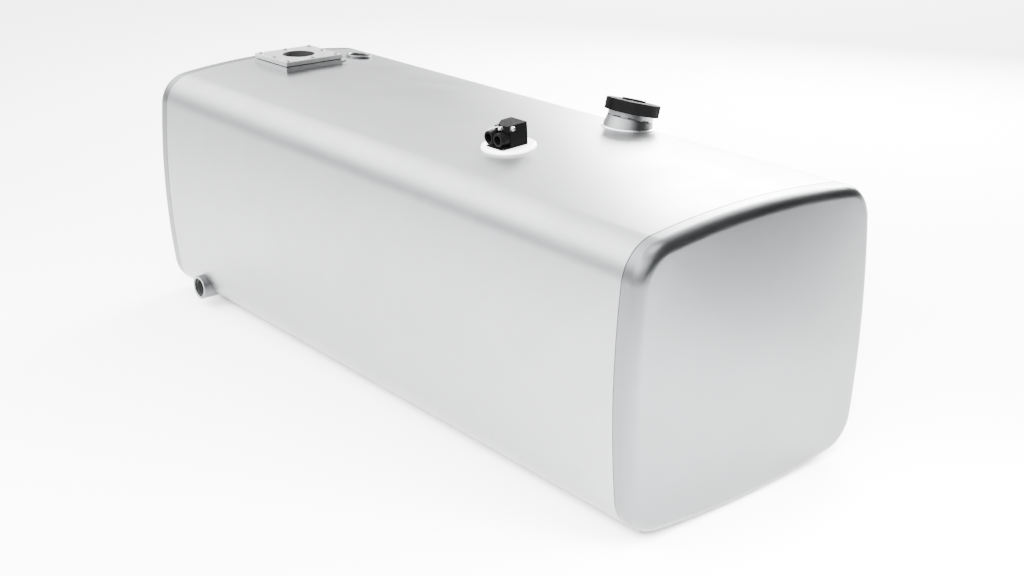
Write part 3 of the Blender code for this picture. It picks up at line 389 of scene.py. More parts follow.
def bumped(tree, height, depth, before=None):
    """A normal with bumps of a depth in metres, over the bumps that it had before."""
    node = tree.nodes.new("ShaderNodeBump")
    node.inputs["Strength"].default_value = 1.0
    node.inputs["Distance"].default_value = depth
    tree.links.new(height, node.inputs["Height"])
    if before is not None:
        tree.links.new(before, node.inputs["Normal"])
    return node.outputs["Normal"]


FINISHES = {}


def finish_of(slot, colour, rough, metallic, bumps, patches=30.0, shade=0.05, specular=0.5):
    """A material with patchy roughness and tone, and bumps given as (scale, stretch, depth)."""
    material, tree, shader = new_material(slot)
    coordinates = tree.nodes.new("ShaderNodeTexCoord").outputs["Object"]
    shader.inputs["Metallic"].default_value = metallic
    shader.inputs["Specular IOR Level"].default_value = specular
    patch = noise_of(tree, coordinates, patches, detail=5.0)
    tree.links.new(ranged(tree, patch, rough[0], rough[1]), shader.inputs["Roughness"])
    mix = tree.nodes.new("ShaderNodeMix")
    mix.data_type = "RGBA"
    mix.inputs["A"].default_value = (*[c * (1 - shade) for c in colour], 1.0)
    mix.inputs["B"].default_value = (*[min(1.0, c * (1 + shade)) for c in colour], 1.0)
    tone = noise_of(tree, coordinates, patches * 2.7, detail=6.0)
    tree.links.new(ranged(tree, tone, 0.0, 1.0), mix.inputs["Factor"])
    tree.links.new(mix.outputs["Result"], shader.inputs["Base Color"])
    normal = None
    for scale, stretch, depth in bumps:
        normal = bumped(tree, noise_of(tree, coordinates, scale, stretch), depth, normal)
    tree.links.new(normal, shader.inputs["Normal"])
    FINISHES[slot] = material


EVEN = (1.0, 1.0, 1.0)
ALONG_X = (0.12, 1.0, 1.0)
finish_of("wrapper", (0.236, 0.240, 0.247), (0.36, 0.42), 1.0,
          [(2.2, (0.6, 1.0, 1.0), 0.0012), (160.0, EVEN, 0.00005), (420.0, ALONG_X, 0.00003)],
          patches=9.0, shade=0.02)
# The ends take a darker colour than the wrapper of the same sheet metal: painted shade, for the end faces'
# darker look.
finish_of("ends", (0.105, 0.108, 0.111), (0.33, 0.39), 1.0,
          [(3.0, EVEN, 0.0008), (220.0, EVEN, 0.00003)], patches=7.0, shade=0.015)
finish_of("baffles", (0.50, 0.505, 0.515), (0.38, 0.48), 1.0,
          [(4.0, EVEN, 0.0006), (300.0, (1.0, 0.1, 1.0), 0.00004)], patches=12.0)
finish_of("fittings", (0.135, 0.138, 0.141), (0.30, 0.40), 1.0,
          [(900.0, (1.0, 1.0, 0.15), 0.00002), (60.0, EVEN, 0.00006)], patches=60.0)
finish_of("machined", (0.75, 0.755, 0.76), (0.26, 0.34), 1.0,
          [(900.0, EVEN, 0.00002)], patches=70.0, shade=0.03)
finish_of("cast", (0.86, 0.86, 0.86), (0.50, 0.60), 0.25,
          [(500.0, EVEN, 0.00003)], patches=70.0, shade=0.03)
finish_of("plate", (0.50, 0.505, 0.51), (0.30, 0.38), 1.0,
          [(700.0, (0.08, 1.0, 1.0), 0.00002), (90.0, EVEN, 0.00004)], patches=50.0)
finish_of("collar", (0.21, 0.214, 0.218), (0.28, 0.36), 1.0,
          [(900.0, (1.0, 1.0, 0.2), 0.00002)], patches=80.0)
finish_of("cap", (0.0025, 0.0025, 0.0026), (0.50, 0.60), 0.0,
          [(700.0, EVEN, 0.00008)], patches=90.0, shade=0.2, specular=0.012)
finish_of("cap_inner", (0.016, 0.016, 0.017), (0.45, 0.60), 0.0,
          [(500.0, EVEN, 0.00006)], patches=70.0, shade=0.2)
finish_of("housing", (0.0020, 0.0020, 0.0021), (0.50, 0.62), 0.0,
          [(900.0, EVEN, 0.00020), (260.0, EVEN, 0.00012)], patches=150.0, shade=0.3,
          specular=0.015)
finish_of("ports", (0.0016, 0.0016, 0.0017), (0.40, 0.52), 0.0,
          [(600.0, EVEN, 0.00006)], patches=90.0, shade=0.2, specular=0.06)
finish_of("rubber", (0.012, 0.012, 0.012), (0.65, 0.85), 0.0,
          [(1200.0, EVEN, 0.00010)], patches=140.0, shade=0.25, specular=0.2)
finish_of("float_foam", (0.025, 0.025, 0.027), (0.60, 0.80), 0.0,
          [(800.0, EVEN, 0.00030), (120.0, EVEN, 0.00010)], patches=150.0, shade=0.35)
finish_of("nickel", (0.44, 0.435, 0.42), (0.20, 0.28), 1.0,
          [(400.0, EVEN, 0.00002)], patches=120.0, shade=0.03)
finish_of("steel", (0.32, 0.32, 0.315), (0.22, 0.36), 1.0,
          [(900.0, EVEN, 0.00003)], patches=150.0, shade=0.06)


# ---------------------------------------------------------------- tank body
def ring_at(x, inset):
    """The section's points at x, set in from the skin."""
    return [Vector((x, y, CENTRE_Z + z)) for y, z in section(SKIN + inset)]


def tank_outside():
    """The body that the fittings' feet are cut back to."""
    return skin_rows([[Vector((-LENGTH / 2, 0.0, CENTRE_Z))], ring_at(-LENGTH / 2, -GAP),
                      ring_at(LENGTH / 2, -GAP), [Vector((LENGTH / 2, 0.0, CENTRE_Z))]], False)


NECK_SPIGOT_RADIUS = 0.048
BOSS_SPIGOT_RADIUS = 0.043
FRAME_HOLE_RADIUS = 0.052
VENT_SPIGOT_RADIUS = 0.030
OUTLET_SPIGOT_RADIUS = 0.0225
EDGE_SHARES = (0.0, 0.13, 0.5, 1.0)      # of the rounding, along the sheet
FACES_OUT = 0.99                         # cosine between a face of the plain skin and straight out
PAST_EDGE = 1.01                         # in seam edges, how far in the plain skin starts


def show_wrapper():
    """Rolled sheet with its seam edges rounded over and a hole under every fitting."""
    rows = []
    for side in (-1, 1):
        arc = [(side * (LENGTH / 2 - SEAM_GAP - SEAM_EDGE * share),
                SEAM_EDGE * (1 - math.sqrt(1 - (1 - share) ** 2))) for share in EDGE_SHARES]
        rows += arc[::-1] if side > 0 else arc
    outer = [ring_at(x, inset) for x, inset in rows]
    inner = [ring_at(side * (LENGTH / 2 - SEAM_GAP), WALL) for side in (1, -1)]
    piece = show("wrapper", skin_rows(outer + inner, True), "wrapper", cuts=[
        rod(NECK_SPIGOT_RADIUS + GAP, REACH, -REACH, FILLER),
        rod(BOSS_SPIGOT_RADIUS + GAP, REACH, -REACH, SENDER),
        rod(FRAME_HOLE_RADIUS, REACH, -REACH, ACCESS),
        rod(VENT_SPIGOT_RADIUS + GAP, REACH, -REACH, VENT),
        rod(OUTLET_SPIGOT_RADIUS + GAP, 0.0, -2 * REACH, OUTLET)])
    # The plain skin takes its shading from the section's own arcs, so its facets don't show.
    mesh = piece.data
    normals = [Vector((0.0, 0.0, 0.0))] * len(mesh.loops)
    limit = LENGTH / 2 - SEAM_GAP - SEAM_EDGE * PAST_EDGE
    for face in mesh.polygons:
        if outward(face.center).dot(face.normal) > FACES_OUT:
            for loop in face.loop_indices:
                point = mesh.vertices[mesh.loops[loop].vertex_index].co
                if abs(point.x) < limit:
                    normals[loop] = outward(point)
    mesh.normals_split_custom_set(normals)


def end_rows(side, skin):
    """Rows from the rim round the knuckle and over the dome to its middle."""
    radius = KNUCKLE_RADIUS - skin
    rows = []
    for step in range(KNUCKLE_STEPS + 1):
        angle = KNUCKLE_TURN * step / KNUCKLE_STEPS
        x = side * (LENGTH / 2 + RIM + radius * math.sin(angle))
        rows.append(ring_at(x, skin + radius * (1 - math.cos(angle))))
    inset = SKIN + skin + radius * (1 - math.cos(KNUCKLE_TURN))
    foot = LENGTH / 2 + RIM + radius * math.sin(KNUCKLE_TURN)
    for step in range(1, DOME_STEPS):
        shrink = 1 - step / DOME_STEPS
        row = []
        for y, z in section(inset):
            oval = (y / (HALF_WIDTH - inset)) ** 2 + (z / (HALF_HEIGHT - inset)) ** 2
            fall = shrink ** 2 * (oval + (1 - oval) * shrink ** 2)
            row.append(Vector((side * (foot + DOME_RISE * (1 - fall)), y * shrink, CENTRE_Z + z * shrink)))
        rows.append(row)
    rows.append([Vector((side * (foot + DOME_RISE), 0.0, CENTRE_Z))])
    return rows


def show_end(node, side):
    """Pressed end: dome, knuckle, straight rim, and a joggled lip inside the wrapper."""
    lip = WALL + GAP
    seam = [(GAP + SEAM_EDGE * share, SEAM_EDGE * (1 - math.sqrt(1 - (1 - share) ** 2)))
            for share in EDGE_SHARES[::-1]]
    steps = seam + [(GAP, lip), (-LIP_LENGTH, lip), (-LIP_LENGTH, lip + WALL),
                    (JOGGLE_START, lip + WALL), (JOGGLE_END, WALL)]
    rim = [ring_at(side * (LENGTH / 2 + past), inset) for past, inset in steps]
    show(node, skin_rows(end_rows(side, 0.0)[::-1] + rim + end_rows(side, WALL), False), "ends")


# ---------------------------------------------------------------- filler
NECK_BORE = 0.044
NECK_TOP = 0.0195
NECK_TOP_RADIUS = 0.0525
NECK_FOOT_RADIUS = 0.0605
NECK_FOOT = -0.012
NECK_EDGE = 0.0012
NECK_SPIGOT_FOOT = -0.030
BEAD_RADIUS = 0.0027
BEAD_STEPS = 160
BEAD_SIDES = 10
BEAD_RIPPLE = 0.10         # share of the bead's radius
BEAD_RIPPLE_TURN = 2.1     # of the ripple's wave, for each step along the bead
CROWN_SEARCH = 0.030       # heights within which a fitting's side meets the crown
HALVINGS = 40

COLLAR_RADIUS = 0.0523
COLLAR_THREAD_RADIUS = 0.0488
COLLAR_TOP = 0.0489
COLLAR_SHOULDER = 0.0323
COLLAR_SHOULDER_EDGE = 0.0014
COLLAR_FLANGE = 0.0198
COLLAR_FLANGE_EDGE = 0.0008
COLLAR_SEAT = 0.0135
SOCKET_RADIUS = 0.0475
THREADS = 3
THREAD_START = 0.0024      # from the collar's top down to the first ridge
THREAD_PITCH = 0.0036
THREAD_DEPTH = 0.0014
THREAD_UP = 0.0009
THREAD_DOWN = 0.0016
NOTCHES = 9
NOTCH_START = math.radians(-41.4)
NOTCH_HALF_TURN = math.radians(10)
NOTCH_DEPTH = 0.0032
NOTCH_BOTTOM = 0.0168
NOTCH_TOP = 0.0228
# A dark ring of painted shade inside the collar's notches, for the shadow in the gap between collar and
# neck.
NOTCH_SHADE_RADIUS = 0.0504
NOTCH_SHADE_BORE = 0.0478
NOTCH_SHADE_BOTTOM = 0.0199
NOTCH_SHADE_TOP = 0.0226

CAP_BOTTOM = 0.0319
CAP_TOP = 0.0592
CAP_ROOF = 0.0550
CAP_RADIUS = 0.0622
CAP_INSIDE = 0.0535
CAP_TOP_EDGE = 0.0026
CAP_BOTTOM_EDGE = 0.0009
CAP_STEPS = 144
CAP_BEVEL = 0.0003
GRIPS = 6
GRIP_START = math.radians(-34)
GRIP_DEPTH = 0.0022
GRIP_HALF_WIDTH = 0.0055
INSERT_TOP = 0.0547
INSERT_BOTTOM = 0.0515
INSERT_WALL = 0.003
PLUG_GAP = 0.0012          # between the plug of the cap and the neck's bore
PLUG_FOOT = 0.012          # below the insert's flange
CAP_GASKET_TOP = 0.0512
CAP_GASKET_BOTTOM = 0.0492
GASKET_EDGE = 0.0005

BARREL_HEAD = 0.0105
BARREL_RADIUS = 0.0085
BARREL_SEAT = CAP_TOP - 0.0014
BARREL_FOOT = CAP_TOP - 0.0031
HEAD_HEIGHT = 0.0008
KEY_HALF_LENGTH = 0.0045
KEY_HALF_WIDTH = 0.0009
KEY_DEPTH = 0.0022
KEY_BEVEL = 0.00012
COVER_HEIGHT = 0.0042
COVER_RADIUS = 0.013
COVER_HALF = 0.014         # from the cover's middle to the centre of each round end
COVER_STEPS = 24
COVER_BEVEL = 0.0006
PIN_X = 0.0195
PIN_HEAD = 0.0045
PIN_RADIUS = 0.0025
PIN_FOOT = CAP_TOP - 0.0027
PIN_CUT_TOP = 0.1          # anywhere above the cap
PIN_GAP = 0.0004           # between the pin and the cover that turns on it
HEAD_SEAT = 0.0012


def bead(name, points, radius, slot, body):
    """A weld bead along a closed run of points, with the ripples that a weld leaves."""
    rows = []
    count = len(points)
    for index, point in enumerate(points):
        along = (points[(index + 1) % count] - points[index - 1]).normalized()
        across = along.cross(Vector((0.0, 0.0, 1.0))).normalized()
        up = across.cross(along)
        size = radius * (1.0 + BEAD_RIPPLE * math.sin(index * BEAD_RIPPLE_TURN))
        rows.append([point + (across * math.cos(turn) + up * math.sin(turn)) * size
                     for turn in (math.tau * step / BEAD_SIDES for step in range(BEAD_SIDES))])
    piece = thing(name, skin_rows(rows, True))
    worked(piece, [], 0.0)
    # The bead takes a much brighter colour than the neck and sheet around it: painted highlight, for the
    # bright line along the neck's foot.
    finished(piece, slot, "machined")
    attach(piece, body)


def on_crown(axes, radius_at, turn):
    """Where a turned side, radius_at(height), meets the tank's top at that turn."""
    low, high = -CROWN_SEARCH, CROWN_SEARCH
    for _ in range(HALVINGS):
        height = (low + high) / 2
        radius = radius_at(height)
        point = axes @ Vector((radius * math.cos(turn), radius * math.sin(turn), height))
        if point.z > surface_z(point.y):
            high = height
        else:
            low = height
    return point


def show_neck():
    """Flared neck with its spigot in the sheet, the collar's socket, and the bead round its foot."""
    flare = (NECK_FOOT_RADIUS - NECK_TOP_RADIUS) / (NECK_TOP - NECK_FOOT)
    profile = [(0.0, NECK_TOP), (NECK_TOP_RADIUS, NECK_TOP, NECK_EDGE), (NECK_FOOT_RADIUS, NECK_FOOT),
               (0.0, NECK_FOOT)]
    show("neck_base", turned(profile, FILLER), "fittings", cuts=[tank_outside()],
         joins=[rod(NECK_SPIGOT_RADIUS, NECK_TOP / 2, NECK_SPIGOT_FOOT, FILLER)],
         late_cuts=[stepped_bore(((SOCKET_RADIUS + GAP, COLLAR_SEAT), (NECK_BORE, -REACH)), FILLER)])
    rim = [on_crown(FILLER, lambda height: NECK_TOP_RADIUS + flare * (NECK_TOP - height),
                    math.tau * step / BEAD_STEPS) for step in range(BEAD_STEPS)]
    bead("neck_weld", rim, BEAD_RADIUS, "collar", "tank")


def show_collar():
    """Ring that the cap screws on: thread ridges above a shoulder, and notches with a dark ring of painted
    shade in them.
    """
    threads = []
    for index in range(THREADS):
        ridge = COLLAR_TOP - THREAD_START - THREAD_PITCH * index
        threads += [(COLLAR_THREAD_RADIUS, ridge + THREAD_UP),
                    (COLLAR_THREAD_RADIUS + THREAD_DEPTH, ridge, TINY_EDGE),
                    (COLLAR_THREAD_RADIUS, ridge - THREAD_DOWN)]
    profile = [(NECK_BORE, COLLAR_TOP, SMALL_EDGE), (COLLAR_THREAD_RADIUS, COLLAR_TOP, SMALL_EDGE),
               *threads, (COLLAR_THREAD_RADIUS, COLLAR_SHOULDER),
               (COLLAR_RADIUS, COLLAR_SHOULDER, COLLAR_SHOULDER_EDGE),
               (COLLAR_RADIUS, COLLAR_FLANGE, COLLAR_FLANGE_EDGE), (SOCKET_RADIUS, COLLAR_FLANGE),
               (SOCKET_RADIUS, COLLAR_SEAT + GAP), (NECK_BORE, COLLAR_SEAT + GAP)]
    half = COLLAR_RADIUS * math.tan(NOTCH_HALF_TURN)
    notches = [block((COLLAR_RADIUS - NOTCH_DEPTH, COLLAR_RADIUS + NOTCH_DEPTH), (-half, half),
                     (NOTCH_BOTTOM, NOTCH_TOP),
                     FILLER @ Matrix.Rotation(NOTCH_START + math.tau * index / NOTCHES, 4, "Z"))
               for index in range(NOTCHES)]
    show("neck_collar", turned(profile, FILLER, ring=True), "collar", cuts=notches)
    # Painted shade: a dark ring behind the notches, so that they read as shadowed gaps.
    shade_piece("collar_notch_shade", turned([
        (NOTCH_SHADE_BORE, NOTCH_SHADE_TOP), (NOTCH_SHADE_RADIUS, NOTCH_SHADE_TOP, TINY_EDGE),
        (NOTCH_SHADE_RADIUS, NOTCH_SHADE_BOTTOM), (NOTCH_SHADE_BORE, NOTCH_SHADE_BOTTOM)], FILLER, ring=True))


def show_cap():
    """Grip with grooves and a flat top, the seats of its lock, and the gasket and plug inside it."""
    profile = [(0.0, CAP_TOP), (CAP_RADIUS, CAP_TOP, CAP_TOP_EDGE),
               (CAP_RADIUS, CAP_BOTTOM, CAP_BOTTOM_EDGE), (CAP_INSIDE, CAP_BOTTOM, SMALL_EDGE),
               (CAP_INSIDE, CAP_ROOF), (0.0, CAP_ROOF)]
    groove = rectangle((CAP_RADIUS - GRIP_DEPTH, CAP_RADIUS + GRIP_DEPTH),
                       (-GRIP_HALF_WIDTH, GRIP_HALF_WIDTH), CAP_BOTTOM_EDGE)
    grips = [prism(groove, 0.0, 2 * REACH,
                   FILLER @ Matrix.Rotation(GRIP_START + math.tau * index / GRIPS, 4, "Z"))
             for index in range(GRIPS)]
    pin = LOCK @ Matrix.Translation((PIN_X, 0.0, 0.0))
    lock_seat = stepped_bore(((BARREL_HEAD + GAP, BARREL_SEAT), (BARREL_RADIUS + GAP, BARREL_FOOT - GAP)),
                             FILLER, SMALL_ROUND)
    show("cap_grip", turned(profile, FILLER, steps=CAP_STEPS), "cap", bevel=CAP_BEVEL, cuts=[
        *grips, lock_seat, rod(PIN_RADIUS + GAP, PIN_CUT_TOP, PIN_FOOT - GAP, pin, steps=SMALL_ROUND)])
    show("cap_gasket", turned([
        (NECK_BORE, CAP_GASKET_TOP, GASKET_EDGE), (COLLAR_THREAD_RADIUS, CAP_GASKET_TOP, GASKET_EDGE),
        (COLLAR_THREAD_RADIUS, CAP_GASKET_BOTTOM, GASKET_EDGE),
        (NECK_BORE, CAP_GASKET_BOTTOM, GASKET_EDGE)], FILLER, ring=True), "rubber")
    plug = NECK_BORE - PLUG_GAP
    foot = INSERT_BOTTOM - PLUG_FOOT
    show("cap_insert", turned([
        (0.0, INSERT_TOP), (COLLAR_THREAD_RADIUS, INSERT_TOP, SMALL_EDGE),
        (COLLAR_THREAD_RADIUS, INSERT_BOTTOM, SMALL_EDGE), (plug, INSERT_BOTTOM), (plug, foot, NECK_EDGE),
        (plug - INSERT_WALL, foot, 0.0008), (plug - INSERT_WALL, INSERT_TOP - INSERT_WALL, 0.0015),
        (0.0, INSERT_TOP - INSERT_WALL)], FILLER), "cap_inner")


def show_lock():
    """Key barrel, the cover that swings off it, and the pin that the cover turns on."""
    top = CAP_TOP - GAP
    key_hole = block((-KEY_HALF_LENGTH, KEY_HALF_LENGTH), (-KEY_HALF_WIDTH, KEY_HALF_WIDTH),
                     (top - KEY_DEPTH, top + KEY_DEPTH), LOCK)
    show("key_barrel", turned([
        (0.0, top), (BARREL_HEAD, top, TINY_EDGE), (BARREL_HEAD, top - HEAD_HEIGHT),
        (BARREL_RADIUS, top - HEAD_HEIGHT), (BARREL_RADIUS, BARREL_FOOT), (0.0, BARREL_FOOT)],
        FILLER, steps=SMALL_ROUND), "nickel", cuts=[key_hole], bevel=KEY_BEVEL)
    bottom = CAP_TOP + GAP
    top = bottom + COVER_HEIGHT
    outline = []
    for side, start in ((1, -math.pi / 2), (-1, math.pi / 2)):
        outline += [(side * COVER_HALF + COVER_RADIUS * math.cos(start + math.pi * step / COVER_STEPS),
                     COVER_RADIUS * math.sin(start + math.pi * step / COVER_STEPS))
                    for step in range(COVER_STEPS + 1)]
    eye = LOCK @ Matrix.Translation((PIN_X, 0.0, 0.0))
    pin_seat = stepped_bore(((PIN_HEAD + PIN_GAP, top - HEAD_SEAT), (PIN_RADIUS + PIN_GAP, 0.0)),
                            eye, SMALL_ROUND)
    show("lock_cover", prism(outline, bottom, top, LOCK), "cap", cuts=[pin_seat], bevel=COVER_BEVEL)
    show("cover_pin", turned([
        (0.0, top), (PIN_HEAD, top, 0.0005), (PIN_HEAD, top - HEAD_HEIGHT), (PIN_RADIUS, top - HEAD_HEIGHT),
        (PIN_RADIUS, PIN_FOOT), (0.0, PIN_FOOT)], eye, steps=SMALL_ROUND), "steel")


# ---------------------------------------------------------------- level sender
BOSS_BORE = 0.040
BOSS_HEIGHT = 0.006
BOSS_RADIUS = 0.0595
BOSS_EDGE = 0.0050
BOSS_SPIGOT_FOOT = -0.010
BOSS_LEDGE = 0.0014
PLUG_RADIUS = 0.0525
PLUG_BOTTOM = 0.003
SENDER_GASKET_TOP = 0.0027
SENDER_GASKET_BOTTOM = 0.0017
PIPE_HOLE = 0.0063
STEM_HOLE = 0.0053

SOLE_BOTTOM = 0.0063
SOLE_TOP = 0.0093
SOLE_FRONT = -0.044
SOLE_MARGIN = 0.0005
HOOD_BOTTOM = 0.0405
HOUSING_TOP = 0.0550
BODY_TOP = 0.047
HOUSING = (-0.0200, 0.0318)
HOUSING_FRONT = -0.020
HOUSING_BACK = 0.0265
HOUSING_BEVEL = 0.0006
HOOD_FRONT = -0.028
HOOD_CUT = (0.022, -0.002)         # where the hood's cut corner ends: along its front, and on its side
PORT_HEIGHT = 0.0255
PORTS = {"suction_port": -0.0140, "return_port": 0.0160}
PORT_SEAT_RADIUS = 0.0128
PORT_SEAT_FOOT = -0.008
PORT_RADIUS = 0.0145
PORT_BORE = 0.010
PORT_LENGTH = 0.023
PORT_BORE_FOOT = -0.0053
PORT_NECK = 0.0125
PORT_FOOT = -0.0077
PORT_WAIST = 0.0139                # between the two collars of a port
PORT_COLLARS = (0.0193, 0.0147)    # where the outer one ends and the inner one starts
PORT_SLOPE = 0.0008

BLADE_SIDES = (-0.00915, -0.00285)
BLADE_ENDS = (-0.0136, -0.048)
BLADE_HEIGHTS = (0.0465, 0.0475)
BLADE_EDGE = 0.0012
BLADE_BEVEL = 0.00015
BLADE_HOLE = (-0.006, -0.0445)
BLADE_HOLE_RADIUS = 0.0010
BLADE_SLOT_PLAY = 0.00035
NUT_RADIUS = 0.0052
NUT_HEIGHT = 0.006
NUT_FOOT = 0.0025
NUT_STEPS = 14
NUT_THROAT = 0.0049                # between a nut and its washer
NUT_BOTTOM = 0.0009
NUT_CORNER = 0.0012
WASHER_RADIUS = 0.0054
WASHER_TOP = 0.0006
STUD_RADIUS = 0.0035
STUD_FOOT = -0.004

PIPES = {"suction_pipe": 0.010, "return_pipe": -0.010}
PIPE_X = -0.018
PIPE_RADIUS = 0.006
PIPE_BORE = 0.0048
PIPE_TOP = 0.0057
SUCTION_RISE = 0.018               # of the suction pipe's end over the bottom of the tank
RETURN_END = -0.140
STEM_X = 0.014
STEM_RADIUS = 0.005
STEM_RISE = 0.025
STOP_RADIUS = 0.0103
STOP_HEIGHT = 0.005
UPPER_STOP_TOP = -0.030
FLOAT_RADIUS = 0.020
FLOAT_BORE = 0.0057
FLOAT_HEIGHT = 0.046
FLOAT_EDGE = 0.004


def sender_axes(origin, x_axis, z_axis):
    return SENDER @ frame_at(origin, x_axis, z_axis)


FRONT_STUD = (0.013, HOOD_FRONT, 0.0478)
SIDE_STUD = (HOUSING[1], -0.0155, 0.0485)
STUDS = {"front_dome_nut": sender_axes(FRONT_STUD, (1, 0, 0), (0, -1, 0)),
         "side_dome_nut": sender_axes(SIDE_STUD, (0, 1, 0), (1, 0, 0))}


def port_axes(x):
    return sender_axes((x, HOUSING_FRONT, PORT_HEIGHT), (1, 0, 0), (0, -1, 0))


def show_boss():
    """Round disc of the sender: a boss welded to the top, a seal on its ledge, and a plug in it."""
    profile = [(0.0, BOSS_HEIGHT), (BOSS_RADIUS, BOSS_HEIGHT, BOSS_EDGE), (BOSS_RADIUS, -BOSS_HEIGHT),
               (0.0, -BOSS_HEIGHT)]
    show("sender_boss", turned(profile, SENDER), "fittings", cuts=[tank_outside()],
         joins=[rod(BOSS_SPIGOT_RADIUS, BOSS_LEDGE, BOSS_SPIGOT_FOOT, SENDER)],
         late_cuts=[stepped_bore(((PLUG_RADIUS + GAP, BOSS_LEDGE), (BOSS_BORE, -REACH)), SENDER)],
         finish="cast")
    show("sender_gasket", turned([
        (BOSS_BORE, SENDER_GASKET_TOP, SEAL_EDGE), (PLUG_RADIUS, SENDER_GASKET_TOP, SEAL_EDGE),
        (PLUG_RADIUS, SENDER_GASKET_BOTTOM, SEAL_EDGE), (BOSS_BORE, SENDER_GASKET_BOTTOM, SEAL_EDGE)],
        SENDER, ring=True), "rubber")
    holes = [rod(PIPE_HOLE, REACH, -REACH, SENDER, at=(PIPE_X, y), steps=SMALL_ROUND)
             for y in PIPES.values()]
    holes.append(rod(STEM_HOLE, REACH, -REACH, SENDER, at=(STEM_X, 0.0), steps=SMALL_ROUND))
    show("sender_plug", turned([
        (0.0, BOSS_HEIGHT), (PLUG_RADIUS, BOSS_HEIGHT, SMALL_EDGE), (PLUG_RADIUS, PLUG_BOTTOM, SEAL_EDGE),
        (0.0, PLUG_BOTTOM)], SENDER), "fittings", cuts=holes, finish="cast")


def show_head():
    """Moulded head: a body, an overhanging hood with a cut corner, and a sole."""
    left, right = HOUSING
    cut_along, cut_back = HOOD_CUT
    hood = [(left, HOUSING_BACK, 0.002), (left, cut_back, 0.0012), (left + cut_along, HOOD_FRONT, 0.0012),
            (right, HOOD_FRONT, 0.0015), (right, HOUSING_BACK, 0.002)]
    body = block(HOUSING, (HOUSING_FRONT, HOUSING_BACK), (SOLE_BOTTOM, BODY_TOP), SENDER, 0.001)
    sole = block((left - SOLE_MARGIN, right + SOLE_MARGIN), (SOLE_FRONT, HOUSING_BACK + SOLE_MARGIN),
                 (SOLE_BOTTOM, SOLE_TOP), SENDER, 0.002)
    seats = [rod(PORT_SEAT_RADIUS, REACH, PORT_SEAT_FOOT, port_axes(x)) for x in PORTS.values()]
    studs = [rod(STUD_RADIUS + GAP, REACH, STUD_FOOT - GAP, axes, steps=SMALL_ROUND)
             for axes in STUDS.values()]
    slot = block((BLADE_SIDES[0] - GAP, BLADE_SIDES[1] + GAP), (-REACH, BLADE_ENDS[0] + BLADE_SLOT_PLAY),
                 (BLADE_HEIGHTS[0] - GAP, BLADE_HEIGHTS[1] + GAP), SENDER)
    show("sender_housing", prism(hood, HOOD_BOTTOM, HOUSING_TOP, SENDER), "housing", joins=[body, sole],
         late_cuts=[*seats, *studs, slot], bevel=HOUSING_BEVEL)


def show_contacts():
    """Two hose ports, two dome nuts on washers and a blade terminal."""
    outer, inner = PORT_COLLARS
    for node, x in PORTS.items():
        show(node, turned([
            (0.0, PORT_BORE_FOOT), (PORT_BORE, PORT_BORE_FOOT), (PORT_BORE, PORT_LENGTH, PORT_SLOPE),
            (PORT_RADIUS, PORT_LENGTH, 0.0012), (PORT_RADIUS, outer, TINY_EDGE),
            (PORT_WAIST, outer - PORT_SLOPE, TINY_EDGE), (PORT_WAIST, inner + PORT_SLOPE, TINY_EDGE),
            (PORT_RADIUS, inner, TINY_EDGE), (PORT_RADIUS, GAP, TINY_EDGE), (PORT_NECK, GAP),
            (PORT_NECK, PORT_FOOT), (0.0, PORT_FOOT)], port_axes(x)), "ports")
    for node, axes in STUDS.items():
        dome = [(NUT_RADIUS * math.sin(turn), NUT_FOOT + NUT_HEIGHT * math.cos(turn))
                for turn in (math.pi / 2 * step / NUT_STEPS for step in range(NUT_STEPS + 1))]
        show(node, turned(dome + [
            (NUT_RADIUS, NUT_CORNER), (NUT_THROAT, NUT_BOTTOM), (WASHER_RADIUS, WASHER_TOP),
            (WASHER_RADIUS, GAP), (STUD_RADIUS, GAP), (STUD_RADIUS, STUD_FOOT), (0.0, STUD_FOOT)],
            axes), "nickel")
    (left, right), (root, tip) = BLADE_SIDES, BLADE_ENDS
    blade = [(left, root), (left, tip, BLADE_EDGE), (right, tip, BLADE_EDGE), (right, root)]
    show("terminal_blade", prism(blade, *BLADE_HEIGHTS, SENDER), "nickel",
         cuts=[rod(BLADE_HOLE_RADIUS, REACH, -REACH, SENDER, at=BLADE_HOLE, steps=24)],
         bevel=BLADE_BEVEL, finish="machined")


def show_dip():
    """Stem with its stops and float, and the suction and return pipes."""
    floor = -(surface_z(SENDER_Y) - WALL) / (SENDER.to_3x3() @ Vector((0, 0, 1))).z
    low = floor + STEM_RISE
    stem = SENDER @ Matrix.Translation((STEM_X, 0.0, 0.0))
    show("float_stem", turned([
        (0.0, PIPE_TOP), (STEM_RADIUS, PIPE_TOP, 0.0005), (STEM_RADIUS, low, 0.0010), (0.0, low)],
        stem, steps=SMALL_ROUND), "steel")
    for node, top in (("lower_stop", low + STOP_HEIGHT), ("upper_stop", UPPER_STOP_TOP)):
        foot = top - STOP_HEIGHT
        show(node, turned([
            (STEM_HOLE, top, SEAL_EDGE), (STOP_RADIUS, top, 0.0008), (STOP_RADIUS, foot, 0.0008),
            (STEM_HOLE, foot, SEAL_EDGE)], stem, SMALL_ROUND, True), "cap_inner")
    base = low + STOP_HEIGHT + GAP
    top = base + FLOAT_HEIGHT
    show("float", turned([
        (FLOAT_BORE, top, 0.0010), (FLOAT_RADIUS, top, FLOAT_EDGE), (FLOAT_RADIUS, base, FLOAT_EDGE),
        (FLOAT_BORE, base, 0.0010)], stem, ring=True), "float_foam")
    for (node, y), end in zip(PIPES.items(), (floor + SUCTION_RISE, RETURN_END)):
        axes = SENDER @ Matrix.Translation((PIPE_X, y, 0.0))
        show(node, turned([
            (PIPE_BORE, PIPE_TOP), (PIPE_RADIUS, PIPE_TOP), (PIPE_RADIUS, end, TINY_EDGE),
            (PIPE_BORE, end, SEAL_EDGE)], axes, SMALL_ROUND, True), "steel")


